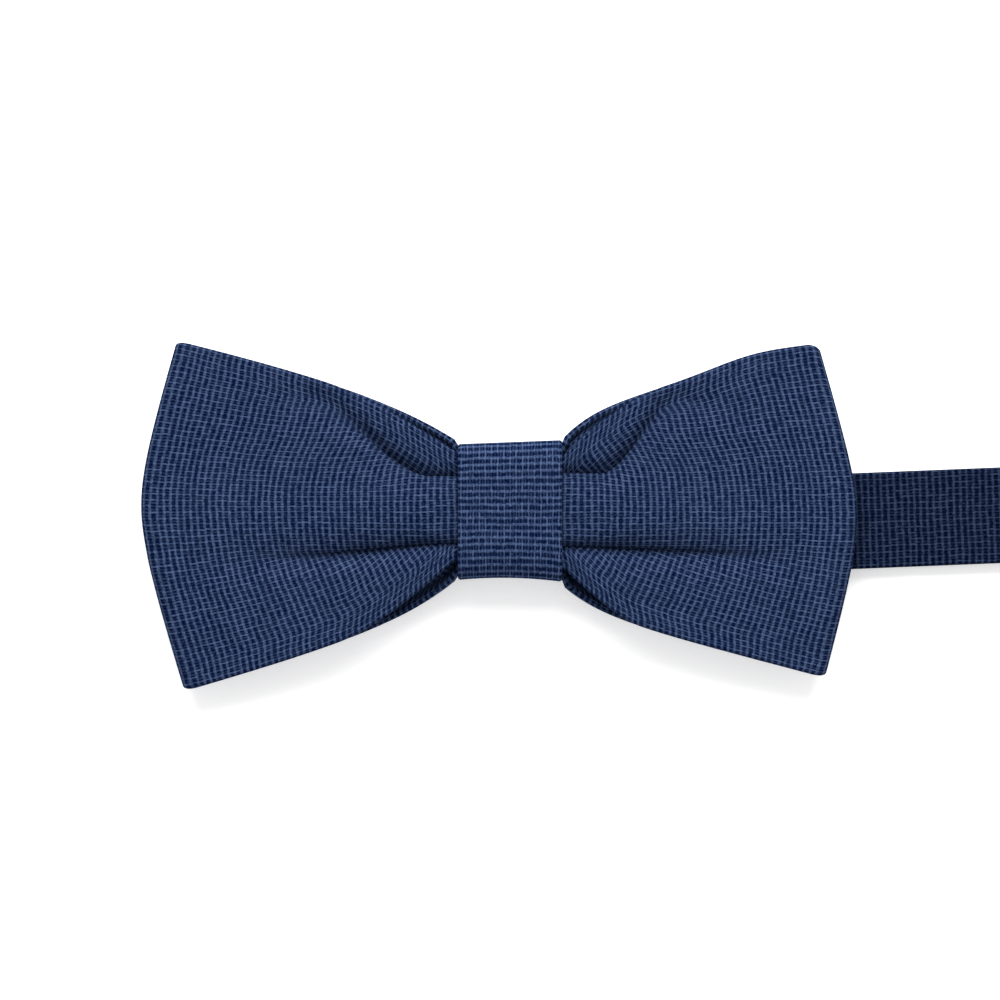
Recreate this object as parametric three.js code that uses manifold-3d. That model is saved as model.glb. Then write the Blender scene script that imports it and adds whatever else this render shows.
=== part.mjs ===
// Pre-tied bow tie with an adjustable neck strap, lying on its back.
// Millimetres. +Z is up and is the bow's front, +X runs along the bow and the strap, +Y is the bow's top.
// The origin is under the middle of the knot, on the surface that the strap rests on.
import * as THREE from 'three';
import { mergeVertices } from 'three/addons/utils/BufferGeometryUtils.js';
import Module from 'manifold-3d';

const wasm = await Module();
wasm.setup();

// ---- driving dimensions ----

// Bow: one wide fabric tube folded into a flat loop, its ends meeting at the centre of the back.
const KNOT_HALF_LENGTH = 8.7;
const PINCHED_HALF_HEIGHT = 8.7;
const BOW_START_HALF_HEIGHT = 9.7;
const FLARE_REACH = 1.2;
const NOMINAL_HALF_SPAN = 58;
// Each edge of a wing leaves the knot, flares out, rises and then runs on at a slope.
const WINGS = {
  left: {
    top: { flare: 1.5, rise: 2.9, reach: 6, slope: 0.31 },
    bottom: { flare: 1.7, rise: 4.2, reach: 6, slope: 0.315 },
    tip: { x: 61.3, y: 0.9, topRake: 0.228, bottomRake: 0.259 },
  },
  right: {
    top: { flare: 1.9, rise: 4.2, reach: 5, slope: 0.285 },
    bottom: { flare: 1.9, rise: 5.0, reach: 5, slope: 0.26 },
    tip: { x: 58.7, y: 1.8, topRake: 0.355, bottomRake: 0.22 },
  },
};
const TIP_ROUNDING = 3;
const TIP_FOLD_RADIUS = 1.9;
const TIP_CENTRE_Z = 7.0;
const REAR_LAYER_Z = 5.0;
const FRONT_LAYER_Z = 10.5;
const FRONT_CROWN = 1.0;
const EDGE_CURL = 1.5;
const EDGE_CURL_REACH = 15;
const REAR_EDGE_CURL = 1.2;
// The two valleys beside the raised pleat: place as a share of the half height, width, depth and reach.
const VALLEYS = [
  { at: 0.62, width: 0.2, depth: 2.4, reach: 10 },
  { at: -0.52, width: 0.2, depth: 2.4, reach: 22 },
];
const BOW_PLIES = { face: [0.37, 0.75], interlining: [-0.12, 0.12], lining: [-0.75, -0.37] };

// Knot: a fabric wrap round the middle of the bow.
const KNOT_HALF_HEIGHT = 11.55;
const KNOT_BACK_Z = 2.6;
const KNOT_FRONT_Z = 13.2;
const KNOT_SQUARENESS = 5.5;
const KNOT_WRAP_PLY = 0.5;
const KNOT_INTERLINING_PLY = 0.4;
const KNOT_PLY_GAP = 0.12;
const KNOT_SEAM_HALF_GAP = 0.03;
const KNOT_INTERLINING_SETBACK = 0.6;
const KNOT_STITCH_COUNT = 10;
const KNOT_STITCH_HALF_SPAN = 7;
const KNOT_STITCH_HALF_WIDTH = 0.9;

// Neck strap: a folded fabric tube with an interlining strip.
const STRAP_WIDTH = 16.1;
const STRAP_THICKNESS = 1.0;
const STRAP_WALL = 0.32;
const STRAP_SEAM_HALF_GAP = 0.25;
const STRAP_GAP = 0.3;
const INTERLINING_THICKNESS = 0.12;
const INTERLINING_WIDTH = 15.0;
const INTERLINING_SETBACK = 2;
const STRAP_TILT = THREE.MathUtils.degToRad(2.3);
const STRAP_OFFSET_Y = -4.1;

// Places along the strap.
const FOLD_X = -20;
const FIXED_END_X = 64;
const SLIDER_X = 95;
const HOOK_X = 155;
const EYE_X = 205;
const EYE_FLAP_X = EYE_X - 13;
const EYE_END_X = EYE_X - 14;
const TAIL_LOOP_END_X = SLIDER_X + 12;
const TAIL_FLAP_X = SLIDER_X + 9.5;

// Soft steps in the strap, as distances from the fitting they lead to.
const EYE_STEP = 7;
const KNOT_STEP = 3;
const FIXED_END_STEP = 4;
const SLIDER_HUMP_HALF_LENGTH = 5.5;
const SLIDER_STEP_FROM = 12;
const SLIDER_STEP_LEVEL = 11;
const SLIDER_STEP_TO = 18;
const HOOK_STEP_FROM = 14;
const HOOK_STEP_TO = 2;
const TAIL_FLAP_STEP = 5;

// Metal fittings for a 16 mm strap.
const FITTING_THICKNESS = 1.0;
const FITTING_INNER_HALF_WIDTH = 8.4;
const FITTING_OUTER_HALF_WIDTH = 9.7;
const BAR_HALF_WIDTH = 0.6;
const BAR_FOLD_RADIUS = 0.95;
const SLIDER_BAR_HALF_WIDTH = 0.5;
const SLIDER_FOLD_RADIUS = 0.75;
const SLIDER_HALF_LENGTH = 6.3;
const SLIDER_BOW = 2.6;
const SLIDER_OUTER_BAR_WIDTH = 1.3;
const SLIDER_RAIL_HEIGHT = 1.2;
const BAR_END_SETBACK = 0.3;
const EYE_LENGTH = 10.4;
const EYE_FAR_BAR_WIDTH = 1.4;
const EYE_CORNER_RADIUS = 0.9;
const WINDOW_CORNER_RADIUS = 0.3;
const HOOK_SLOT_END = 2.5;
const HOOK_SHOULDER_X = 4.4;
const HOOK_SHOULDER_HALF_WIDTH = 8.7;
const HOOK_SHOULDER_ROUNDING = 0.8;
const HOOK_SHOULDER_TAPER = 1.6;
const HOOK_TONGUE_OVERLAP = 0.6;
const HOOK_NOSE_X = 13;
const TONGUE_HALF_WIDTH = 4;
const THROAT_HEIGHT = 1.7;
const LIP_LENGTH = 6;
const LIP_RISE = 0.6;
const LIP_THINNING = 0.1;
// Where two parts of a fitting are joined, one stands this far inside the other's faces.
const JOIN_STEP = 0.01;

// Threads.
const THREAD_RADIUS = 0.13;
const THREAD_CLEARANCE = 0.02;
const BARTACK = { amplitude: 0.7, halfWidth: 6.5, count: 14 };
const EYE_BARTACK_X = EYE_X - 10;
const TAIL_BARTACK_X = SLIDER_X + 8;
const GATHERING_THREAD_RADIUS = 0.2;
const GATHERING_TURNS = 3;
const GATHERING_HALF_SPAN = 0.9;
const GATHERING_CLEARANCE = 1.1;
const GATHERING_LIFT = 0.05;

// ---- heights that follow from them ----

const LOWER_RUN_Z = STRAP_THICKNESS / 2;
const SECOND_RUN_Z = LOWER_RUN_Z + STRAP_THICKNESS + STRAP_GAP;
const THIRD_RUN_Z = SECOND_RUN_Z + STRAP_THICKNESS + STRAP_GAP;
const FOURTH_RUN_Z = THIRD_RUN_Z + STRAP_THICKNESS + STRAP_GAP;
const SLIDER_BAR_Z = SECOND_RUN_Z + STRAP_THICKNESS / 2 + SLIDER_FOLD_RADIUS;
const HUMP_Z = SLIDER_BAR_Z + SLIDER_FOLD_RADIUS + 1.5 * STRAP_THICKNESS + 0.25;
const HOOK_BAR_Z = SECOND_RUN_Z + STRAP_THICKNESS / 2 + BAR_FOLD_RADIUS;
const EYE_BAR_Z = STRAP_THICKNESS + BAR_FOLD_RADIUS;
const TURN_RADIUS = BAR_FOLD_RADIUS + STRAP_THICKNESS / 2;

// ---- materials ----

const cloth = (color) => new THREE.MeshStandardMaterial({ color, roughness: 0.9, metalness: 0 });
const nickel = () => new THREE.MeshStandardMaterial({ color: 0xb9bcc0, roughness: 0.28, metalness: 1 });
const NAVY = 0x293a5e;
const STRAP_NAVY = 0x1c2d50;
const CANVAS = 0xd8d4c8;
const THREAD_NAVY = 0x16213c;

// ---- helpers ----

const lerp = THREE.MathUtils.lerp;
const smooth = THREE.MathUtils.smoothstep;
const RIGHT_ANGLE = Math.PI / 2;

// Turns a closed surface outwards: the sum of its corner tetrahedra is its volume, which must be positive.
function faceOutwards(geometry) {
  const p = geometry.attributes.position;
  const index = geometry.index.array;
  const a = new THREE.Vector3();
  const b = new THREE.Vector3();
  const c = new THREE.Vector3();
  let volume = 0;
  for (let i = 0; i < index.length; i += 3) {
    a.fromBufferAttribute(p, index[i]);
    b.fromBufferAttribute(p, index[i + 1]);
    c.fromBufferAttribute(p, index[i + 2]);
    volume += a.dot(b.cross(c));
  }
  if (volume < 0) {
    for (let i = 0; i < index.length; i += 3) {
      const first = index[i];
      index[i] = index[i + 1];
      index[i + 1] = first;
    }
  }
  geometry.computeVertexNormals();
  return geometry;
}

function merged(geometry) {
  const bare = geometry.clone();
  bare.deleteAttribute('normal');
  bare.deleteAttribute('uv');
  return mergeVertices(bare, 1e-5);
}

// A sheet of cloth: a box whose corners are moved by place(column, row, side), with side 0 inside and 1 out.
function slab(columns, rows, place) {
  const geometry = merged(new THREE.BoxGeometry(1, 1, 1, columns, rows, 1));
  const p = geometry.attributes.position;
  for (let i = 0; i < p.count; i += 1) {
    const column = Math.round((p.getX(i) + 0.5) * columns);
    const row = Math.round((p.getY(i) + 0.5) * rows);
    const side = Math.round(p.getZ(i) + 0.5);
    const moved = place(column, row, side);
    p.setXYZ(i, moved.x, moved.y, moved.z);
  }
  return faceOutwards(geometry);
}

function toSolid(geometry) {
  const g = merged(geometry);
  const vertProperties = Float32Array.from(g.attributes.position.array);
  const triVerts = Uint32Array.from(g.index.array);
  return new wasm.Manifold(new wasm.Mesh({ numProp: 3, vertProperties, triVerts }));
}

function joined(geometries) {
  const solid = geometries.map(toSolid).reduce((sum, next) => sum.add(next));
  const mesh = solid.getMesh();
  const geometry = new THREE.BufferGeometry();
  geometry.setAttribute('position', new THREE.BufferAttribute(mesh.vertProperties, 3));
  geometry.setIndex(new THREE.BufferAttribute(mesh.triVerts, 1));
  geometry.computeVertexNormals();
  return geometry;
}

function named(name, geometry, material) {
  const mesh = new THREE.Mesh(geometry, material);
  mesh.name = name;
  return mesh;
}

// A thread laid along a list of points.
function thread(points, radius, steps) {
  const section = new THREE.Shape();
  const sides = 6;
  for (let i = 0; i < sides; i += 1) {
    const angle = (2 * Math.PI * i) / sides;
    const x = radius * Math.cos(angle);
    const y = radius * Math.sin(angle);
    if (i === 0) section.moveTo(x, y);
    else section.lineTo(x, y);
  }
  const extrudePath = new THREE.CatmullRomCurve3(points);
  return faceOutwards(merged(new THREE.ExtrudeGeometry(section, { steps, extrudePath })));
}

// A plate with its outline in X and Y and its thickness in Z.
function plate(shape, lowZ, thickness) {
  const options = { depth: thickness, bevelEnabled: false, curveSegments: 4 };
  const geometry = new THREE.ExtrudeGeometry(shape, options);
  geometry.translate(0, 0, lowZ);
  return geometry;
}

// A profile drawn in X and Z, as wide in Y as from -halfWidth to halfWidth around centreY.
function across(shape, centreY, halfWidth) {
  const options = { depth: 2 * halfWidth, bevelEnabled: false, curveSegments: 6 };
  const geometry = new THREE.ExtrudeGeometry(shape, options);
  geometry.rotateX(Math.PI / 2);
  geometry.translate(0, centreY + halfWidth, 0);
  return geometry;
}

function rectangle(lowX, highX, lowY, highY) {
  const shape = new THREE.Shape();
  shape.moveTo(lowX, lowY);
  shape.lineTo(highX, lowY);
  shape.lineTo(highX, highY);
  shape.lineTo(lowX, highY);
  shape.closePath();
  return shape;
}

function roundedRectangle(Kind, lowX, highX, halfY, r) {
  const shape = new Kind();
  shape.moveTo(lowX + r, -halfY);
  shape.lineTo(highX - r, -halfY);
  shape.absarc(highX - r, -halfY + r, r, -Math.PI / 2, 0);
  shape.lineTo(highX, halfY - r);
  shape.absarc(highX - r, halfY - r, r, 0, Math.PI / 2);
  shape.lineTo(lowX + r, halfY);
  shape.absarc(lowX + r, halfY - r, r, Math.PI / 2, Math.PI);
  shape.lineTo(lowX, -halfY + r);
  shape.absarc(lowX + r, -halfY + r, r, Math.PI, 1.5 * Math.PI);
  shape.closePath();
  return shape;
}

// ---- the bow ----

// Half height of one wing edge at a distance x from the middle of the knot.
function edgeHeight(edge, x) {
  const d = x - KNOT_HALF_LENGTH;
  if (d <= 0) {
    return lerp(PINCHED_HALF_HEIGHT, BOW_START_HALF_HEIGHT, (x / KNOT_HALF_LENGTH) ** 2);
  }
  const flare = edge.flare * (1 - Math.exp(-d / FLARE_REACH));
  const rise = edge.rise * (1 - Math.exp(-d / edge.reach));
  return BOW_START_HALF_HEIGHT + flare + rise + edge.slope * d;
}

// Height at a share v of the way from the bottom edge (-1) to the top edge (1).
function heightAt(wing, x, v) {
  const top = edgeHeight(wing.top, x);
  const bottom = edgeHeight(wing.bottom, x);
  return (top - bottom) / 2 + (v * (top + bottom)) / 2;
}

// The tip is a blunt point: two raked lines joined by a soft bend.
function tipReach(tip, y) {
  const rake = y > tip.y ? tip.topRake : tip.bottomRake;
  const away = Math.hypot(y - tip.y, TIP_ROUNDING) - TIP_ROUNDING;
  return tip.x - rake * away;
}

function wingPoint(wing, side, q, v, layer) {
  let reach = NOMINAL_HALF_SPAN;
  for (let pass = 0; pass < 3; pass += 1) {
    reach = tipReach(wing.tip, heightAt(wing, reach, v));
  }
  reach -= TIP_FOLD_RADIUS;
  const x = q * (NOMINAL_HALF_SPAN + (reach - NOMINAL_HALF_SPAN) * q * q);
  const y = heightAt(wing, x, v);
  const away = Math.max(x - KNOT_HALF_LENGTH, 0);
  const tipZ = TIP_CENTRE_Z + (layer === 'front' ? TIP_FOLD_RADIUS : -TIP_FOLD_RADIUS);
  let z = lerp(layer === 'front' ? FRONT_LAYER_Z : REAR_LAYER_Z, tipZ, q * q);
  const curl = v ** 4 * Math.exp(-away / EDGE_CURL_REACH) * (1 - q);
  if (layer === 'rear') z += REAR_EDGE_CURL * curl;
  if (layer === 'front') {
    z += FRONT_CROWN * Math.sin(Math.PI * q);
    z -= EDGE_CURL * curl;
    for (const valley of VALLEYS) {
      const offset = (v - valley.at) / valley.width;
      z -= valley.depth * Math.exp(-away / valley.reach) * Math.exp(-offset * offset) * (1 - q);
    }
  }
  return new THREE.Vector3(side * x, y, z);
}

function tipFoldPoint(wing, side, angle, v) {
  const start = wingPoint(wing, side, 1, v, 'front');
  const x = start.x + side * TIP_FOLD_RADIUS * Math.sin(angle);
  return new THREE.Vector3(x, start.y, TIP_CENTRE_Z + TIP_FOLD_RADIUS * Math.cos(angle));
}

const FRONT_STATIONS = [1, 0.74, 0.52, 0.36, 0.26, 0.195, 0.155, 0.08];
const REAR_STATIONS = [0.012, 0.1, 0.155, 0.3, 0.6, 1];
const FOLD_STEPS = 4;
const BOW_ROWS = 12;

// The loop's middle surface, column by column: back centre, left tip, front, right tip, back centre.
function bowColumns() {
  const { left, right } = WINGS;
  const columns = [];
  for (const q of REAR_STATIONS) columns.push((v) => wingPoint(left, -1, q, v, 'rear'));
  for (let i = 1; i < FOLD_STEPS; i += 1) {
    columns.push((v) => tipFoldPoint(left, -1, Math.PI * (1 - i / FOLD_STEPS), v));
  }
  for (const q of FRONT_STATIONS) columns.push((v) => wingPoint(left, -1, q, v, 'front'));
  columns.push((v) => wingPoint(right, 1, 0, v, 'front'));
  for (const q of [...FRONT_STATIONS].reverse()) columns.push((v) => wingPoint(right, 1, q, v, 'front'));
  for (let i = 1; i < FOLD_STEPS; i += 1) {
    columns.push((v) => tipFoldPoint(right, 1, (Math.PI * i) / FOLD_STEPS, v));
  }
  for (const q of [...REAR_STATIONS].reverse()) columns.push((v) => wingPoint(right, 1, q, v, 'rear'));
  return columns;
}

function bowSurface() {
  const columns = bowColumns();
  const points = columns.map((column) => {
    const line = [];
    for (let row = 0; row <= BOW_ROWS; row += 1) line.push(column((2 * row) / BOW_ROWS - 1));
    return line;
  });
  const last = columns.length - 1;
  const normals = points.map((line, i) => line.map((point, j) => {
    const ahead = points[Math.min(i + 1, last)][j];
    const behind = points[Math.max(i - 1, 0)][j];
    const above = line[Math.min(j + 1, BOW_ROWS)];
    const below = line[Math.max(j - 1, 0)];
    return ahead.clone().sub(behind).cross(above.clone().sub(below)).normalize();
  }));
  return { points, normals, columns: last };
}

function bowPly(surface, [inner, outer]) {
  return slab(surface.columns, BOW_ROWS, (column, row, side) => {
    const offset = side === 1 ? outer : inner;
    return surface.points[column][row].clone().addScaledVector(surface.normals[column][row], offset);
  });
}

// The binding thread winds round the pinched middle, inside the knot.
function gatheringThread() {
  const perTurn = 20;
  const steps = GATHERING_TURNS * perTurn;
  const centreZ = (REAR_LAYER_Z + FRONT_LAYER_Z) / 2 + GATHERING_LIFT;
  const halfZ = (FRONT_LAYER_Z - REAR_LAYER_Z) / 2 + GATHERING_CLEARANCE;
  const halfY = PINCHED_HALF_HEIGHT + GATHERING_CLEARANCE;
  const points = [];
  for (let i = 0; i <= steps; i += 1) {
    const angle = (2 * Math.PI * i) / perTurn;
    const y = halfY * Math.sign(Math.cos(angle)) * Math.abs(Math.cos(angle)) ** 0.5;
    const z = centreZ + halfZ * Math.sign(Math.sin(angle)) * Math.abs(Math.sin(angle)) ** 0.5;
    const x = lerp(-GATHERING_HALF_SPAN, GATHERING_HALF_SPAN, i / steps);
    points.push(new THREE.Vector3(x, y, z));
  }
  return thread(points, GATHERING_THREAD_RADIUS, steps);
}

// ---- the knot ----

// A point of the knot's squarish oval section, inset from its outer face; angle 0 is at the back seam.
function knotPoint(x, angle, inset) {
  const halfY = KNOT_HALF_HEIGHT - inset;
  const halfZ = (KNOT_FRONT_Z - KNOT_BACK_Z) / 2 - inset;
  const sin = Math.sin(angle);
  const cos = -Math.cos(angle);
  const power = KNOT_SQUARENESS;
  const radius = (Math.abs(sin) ** power + Math.abs(cos) ** power) ** (-1 / power);
  const y = halfY * sin * radius;
  const z = (KNOT_FRONT_Z + KNOT_BACK_Z) / 2 + halfZ * cos * radius;
  return new THREE.Vector3(x, y, z);
}

function knotRing(halfLength, outerInset, innerInset) {
  const around = 32;
  return slab(around, 1, (column, row, side) => {
    const x = row === 1 ? halfLength : -halfLength;
    const angle = lerp(KNOT_SEAM_HALF_GAP, 2 * Math.PI - KNOT_SEAM_HALF_GAP, column / around);
    return knotPoint(x, angle, side === 1 ? outerInset : innerInset);
  });
}

// Hand stitches that close the knot, laid across the seam at its back.
function knotStitching() {
  const points = [];
  const z = KNOT_BACK_Z - THREAD_RADIUS - THREAD_CLEARANCE;
  for (let i = 0; i <= KNOT_STITCH_COUNT; i += 1) {
    const x = lerp(-KNOT_STITCH_HALF_SPAN, KNOT_STITCH_HALF_SPAN, i / KNOT_STITCH_COUNT);
    const y = i % 2 === 0 ? KNOT_STITCH_HALF_WIDTH : -KNOT_STITCH_HALF_WIDTH;
    points.push(new THREE.Vector3(x, y, z));
  }
  return thread(points, THREAD_RADIUS, 4 * KNOT_STITCH_COUNT);
}

// ---- the strap ----

// Centreline pieces, as points [x, z] in the strap's own frame.
function line(x0, z0, x1, z1, steps) {
  const points = [];
  for (let i = 0; i <= steps; i += 1) points.push([lerp(x0, x1, i / steps), lerp(z0, z1, i / steps)]);
  return points;
}

// A soft step from one height to another.
function ramp(x0, z0, x1, z1, steps) {
  const points = [];
  for (let i = 0; i <= steps; i += 1) {
    const t = i / steps;
    points.push([lerp(x0, x1, t), lerp(z0, z1, smooth(t, 0, 1))]);
  }
  return points;
}

function arc(x, z, radius, from, to, steps) {
  const points = [];
  for (let i = 0; i <= steps; i += 1) {
    const angle = lerp(from, to, i / steps);
    points.push([x + radius * Math.cos(angle), z + radius * Math.sin(angle)]);
  }
  return points;
}

// Stations along a centreline with their sideways direction, doubled points left out.
function stations(pieces) {
  const points = [];
  for (const [x, z] of pieces.flat()) {
    const previous = points.at(-1);
    if (!previous || Math.hypot(x - previous[0], z - previous[1]) > 1e-6) points.push([x, z]);
  }
  return points.map(([x, z], i) => {
    const [ax, az] = points[Math.min(i + 1, points.length - 1)];
    const [bx, bz] = points[Math.max(i - 1, 0)];
    const length = Math.hypot(ax - bx, az - bz);
    return { x, z, nx: -(az - bz) / length, nz: (ax - bx) / length };
  });
}

function strapTube(path) {
  const list = stations(path);
  const ring = (inset) => {
    const y = STRAP_WIDTH / 2 - inset;
    const n = STRAP_THICKNESS / 2 - inset;
    const s = STRAP_SEAM_HALF_GAP;
    return [[s, -n], [y, -n], [y, n], [-y, n], [-y, -n], [-s, -n]];
  };
  const rings = [ring(STRAP_WALL), ring(0)];
  return slab(list.length - 1, 5, (column, row, side) => {
    const { x, z, nx, nz } = list[column];
    const [y, n] = rings[side][row];
    return new THREE.Vector3(x + n * nx, y, z + n * nz);
  });
}

function strapInterlining(path) {
  const list = stations(path);
  return slab(list.length - 1, 1, (column, row, side) => {
    const { x, z, nx, nz } = list[column];
    const n = (side - 0.5) * INTERLINING_THICKNESS;
    return new THREE.Vector3(x + n * nx, (row - 0.5) * INTERLINING_WIDTH, z + n * nz);
  });
}

// The strap's end: a flap folded round the eye's near bar and sewn down on itself.
function eyeEndPath() {
  return [
    line(EYE_FLAP_X, SECOND_RUN_Z, EYE_X - EYE_STEP, SECOND_RUN_Z, 1),
    ramp(EYE_X - EYE_STEP, SECOND_RUN_Z, EYE_X, EYE_BAR_Z + TURN_RADIUS, 6),
    arc(EYE_X, EYE_BAR_Z, TURN_RADIUS, RIGHT_ANGLE, -RIGHT_ANGLE, 8),
    line(EYE_X, LOWER_RUN_Z, EYE_END_X, LOWER_RUN_Z, 1),
  ];
}

// The lower run lies flat from the eye's end to the turn behind the left wing.
function lowerRunPath() {
  return [line(EYE_END_X - STRAP_GAP, LOWER_RUN_Z, FOLD_X + STRAP_GAP, LOWER_RUN_Z, 4)];
}

// The upper run turns back over the lower one, crosses behind the knot and climbs towards the slider.
function upperRunPath() {
  const foldRadius = (SECOND_RUN_Z - LOWER_RUN_Z) / 2;
  const climbFrom = KNOT_HALF_LENGTH + KNOT_STEP;
  const climbTo = FIXED_END_X - FIXED_END_STEP;
  return [
    arc(FOLD_X, (LOWER_RUN_Z + SECOND_RUN_Z) / 2, foldRadius, -RIGHT_ANGLE, -3 * RIGHT_ANGLE, 6),
    line(FOLD_X, SECOND_RUN_Z, climbFrom, SECOND_RUN_Z, 2),
    ramp(climbFrom, SECOND_RUN_Z, climbTo, THIRD_RUN_Z, 6),
    line(climbTo, THIRD_RUN_Z, FIXED_END_X, THIRD_RUN_Z, 1),
  ];
}

// The interlining runs through both and stops short of the eye.
function neckInterliningPath() {
  return [line(EYE_X - INTERLINING_SETBACK, LOWER_RUN_Z, FOLD_X, LOWER_RUN_Z, 6), ...upperRunPath()];
}

// From the fixed part, over the slider's middle bar, to the hook.
function adjustingPath() {
  const start = FIXED_END_X + STRAP_GAP;
  const half = SLIDER_HUMP_HALF_LENGTH;
  const turnZ = HOOK_BAR_Z + TURN_RADIUS;
  const hump = [];
  for (let i = 0; i <= 8; i += 1) {
    const t = i / 4 - 1;
    const rise = Math.cos((t * Math.PI) / 2) ** 2;
    hump.push([SLIDER_X + t * half, lerp(FOURTH_RUN_Z, HUMP_Z, rise)]);
  }
  return [
    line(start, THIRD_RUN_Z, SLIDER_X - SLIDER_STEP_FROM, THIRD_RUN_Z, 3),
    ramp(SLIDER_X - SLIDER_STEP_FROM, THIRD_RUN_Z, SLIDER_X - half, FOURTH_RUN_Z, 4),
    hump,
    line(SLIDER_X + half, FOURTH_RUN_Z, SLIDER_X + SLIDER_STEP_LEVEL, FOURTH_RUN_Z, 1),
    ramp(SLIDER_X + SLIDER_STEP_LEVEL, FOURTH_RUN_Z, SLIDER_X + SLIDER_STEP_TO, THIRD_RUN_Z, 4),
    line(SLIDER_X + SLIDER_STEP_TO, THIRD_RUN_Z, HOOK_X - HOOK_STEP_FROM, THIRD_RUN_Z, 2),
    ramp(HOOK_X - HOOK_STEP_FROM, THIRD_RUN_Z, HOOK_X - HOOK_STEP_TO, turnZ, 5),
    line(HOOK_X - HOOK_STEP_TO, turnZ, HOOK_X - STRAP_GAP, turnZ, 1),
  ];
}

function turnPath() {
  return [arc(HOOK_X, HOOK_BAR_Z, TURN_RADIUS, RIGHT_ANGLE, -RIGHT_ANGLE, 8)];
}

function tailRunPath() {
  return [line(HOOK_X - STRAP_GAP, SECOND_RUN_Z, TAIL_LOOP_END_X + STRAP_GAP, SECOND_RUN_Z, 3)];
}

// The sewn end: under the slider's middle bar, round it and back on top of itself.
function tailLoopPath() {
  const radius = SLIDER_FOLD_RADIUS + STRAP_THICKNESS / 2;
  const top = [];
  for (let i = 0; i <= 5; i += 1) {
    const t = i / 5;
    const height = Math.cos((t * Math.PI) / 2) ** 2;
    top.push([SLIDER_X + TAIL_FLAP_STEP * t, lerp(THIRD_RUN_Z, SLIDER_BAR_Z + radius, height)]);
  }
  return [
    line(TAIL_LOOP_END_X, SECOND_RUN_Z, SLIDER_X, SECOND_RUN_Z, 2),
    arc(SLIDER_X, SLIDER_BAR_Z, radius, -RIGHT_ANGLE, -3 * RIGHT_ANGLE, 8),
    top,
    line(SLIDER_X + TAIL_FLAP_STEP, THIRD_RUN_Z, TAIL_FLAP_X, THIRD_RUN_Z, 1),
  ];
}

// A bartack: a close zigzag across the strap at x, lying on the top face of the run at height runZ.
function bartack(x, runZ) {
  const { amplitude, halfWidth, count } = BARTACK;
  const z = runZ + STRAP_THICKNESS / 2 + THREAD_RADIUS + THREAD_CLEARANCE;
  const points = [];
  for (let i = 0; i <= count; i += 1) {
    const y = lerp(-halfWidth, halfWidth, i / count);
    points.push(new THREE.Vector3(x + (i % 2 === 0 ? amplitude : -amplitude), y, z));
  }
  return thread(points, THREAD_RADIUS, 4 * count);
}

// ---- the metal fittings ----

// The slider: outer bars over the strap, middle bar under it, on side rails that sag between them.
function slider() {
  const lowZ = SLIDER_BAR_Z - SLIDER_BAR_HALF_WIDTH;
  const highZ = lowZ + SLIDER_BOW;
  const sagTopZ = lowZ + SLIDER_RAIL_HEIGHT;
  const rail = new THREE.Shape();
  rail.moveTo(-SLIDER_HALF_LENGTH, highZ);
  rail.quadraticCurveTo(-SLIDER_HALF_LENGTH / 2, lowZ, 0, lowZ);
  rail.quadraticCurveTo(SLIDER_HALF_LENGTH / 2, lowZ, SLIDER_HALF_LENGTH, highZ);
  rail.lineTo(SLIDER_HALF_LENGTH, highZ + FITTING_THICKNESS);
  rail.quadraticCurveTo(SLIDER_HALF_LENGTH / 2, sagTopZ, 0, sagTopZ);
  rail.quadraticCurveTo(-SLIDER_HALF_LENGTH / 2, sagTopZ, -SLIDER_HALF_LENGTH, highZ + FITTING_THICKNESS);
  rail.closePath();
  const railHalf = (FITTING_OUTER_HALF_WIDTH - FITTING_INNER_HALF_WIDTH) / 2;
  const railY = FITTING_INNER_HALF_WIDTH + railHalf;
  const barHalfLength = FITTING_OUTER_HALF_WIDTH - BAR_END_SETBACK;
  const outerBar = (side) => {
    const end = side * SLIDER_HALF_LENGTH;
    const inner = end - side * SLIDER_OUTER_BAR_WIDTH;
    const topZ = highZ + FITTING_THICKNESS;
    return rectangle(Math.min(end, inner), Math.max(end, inner), highZ + JOIN_STEP, topZ - JOIN_STEP);
  };
  const middleBar = rectangle(
    -SLIDER_BAR_HALF_WIDTH, SLIDER_BAR_HALF_WIDTH, lowZ + JOIN_STEP, lowZ + FITTING_THICKNESS);
  const geometry = joined([
    across(rail, railY, railHalf),
    across(rail, -railY, railHalf),
    across(outerBar(1), 0, barHalfLength),
    across(outerBar(-1), 0, barHalfLength),
    across(middleBar, 0, barHalfLength),
  ]);
  geometry.translate(SLIDER_X, 0, 0);
  return geometry;
}

// The eye: a flat ring whose near bar the strap's end is folded round.
function eye() {
  const shape = roundedRectangle(
    THREE.Shape, -BAR_HALF_WIDTH, EYE_LENGTH, FITTING_OUTER_HALF_WIDTH, EYE_CORNER_RADIUS);
  const holeEnd = EYE_LENGTH - EYE_FAR_BAR_WIDTH;
  const hole = roundedRectangle(
    THREE.Path, BAR_HALF_WIDTH, holeEnd, FITTING_INNER_HALF_WIDTH, WINDOW_CORNER_RADIUS);
  shape.holes.push(hole);
  const geometry = merged(plate(shape, EYE_BAR_Z - FITTING_THICKNESS / 2, FITTING_THICKNESS));
  geometry.translate(EYE_X, 0, 0);
  return faceOutwards(geometry);
}

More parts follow.
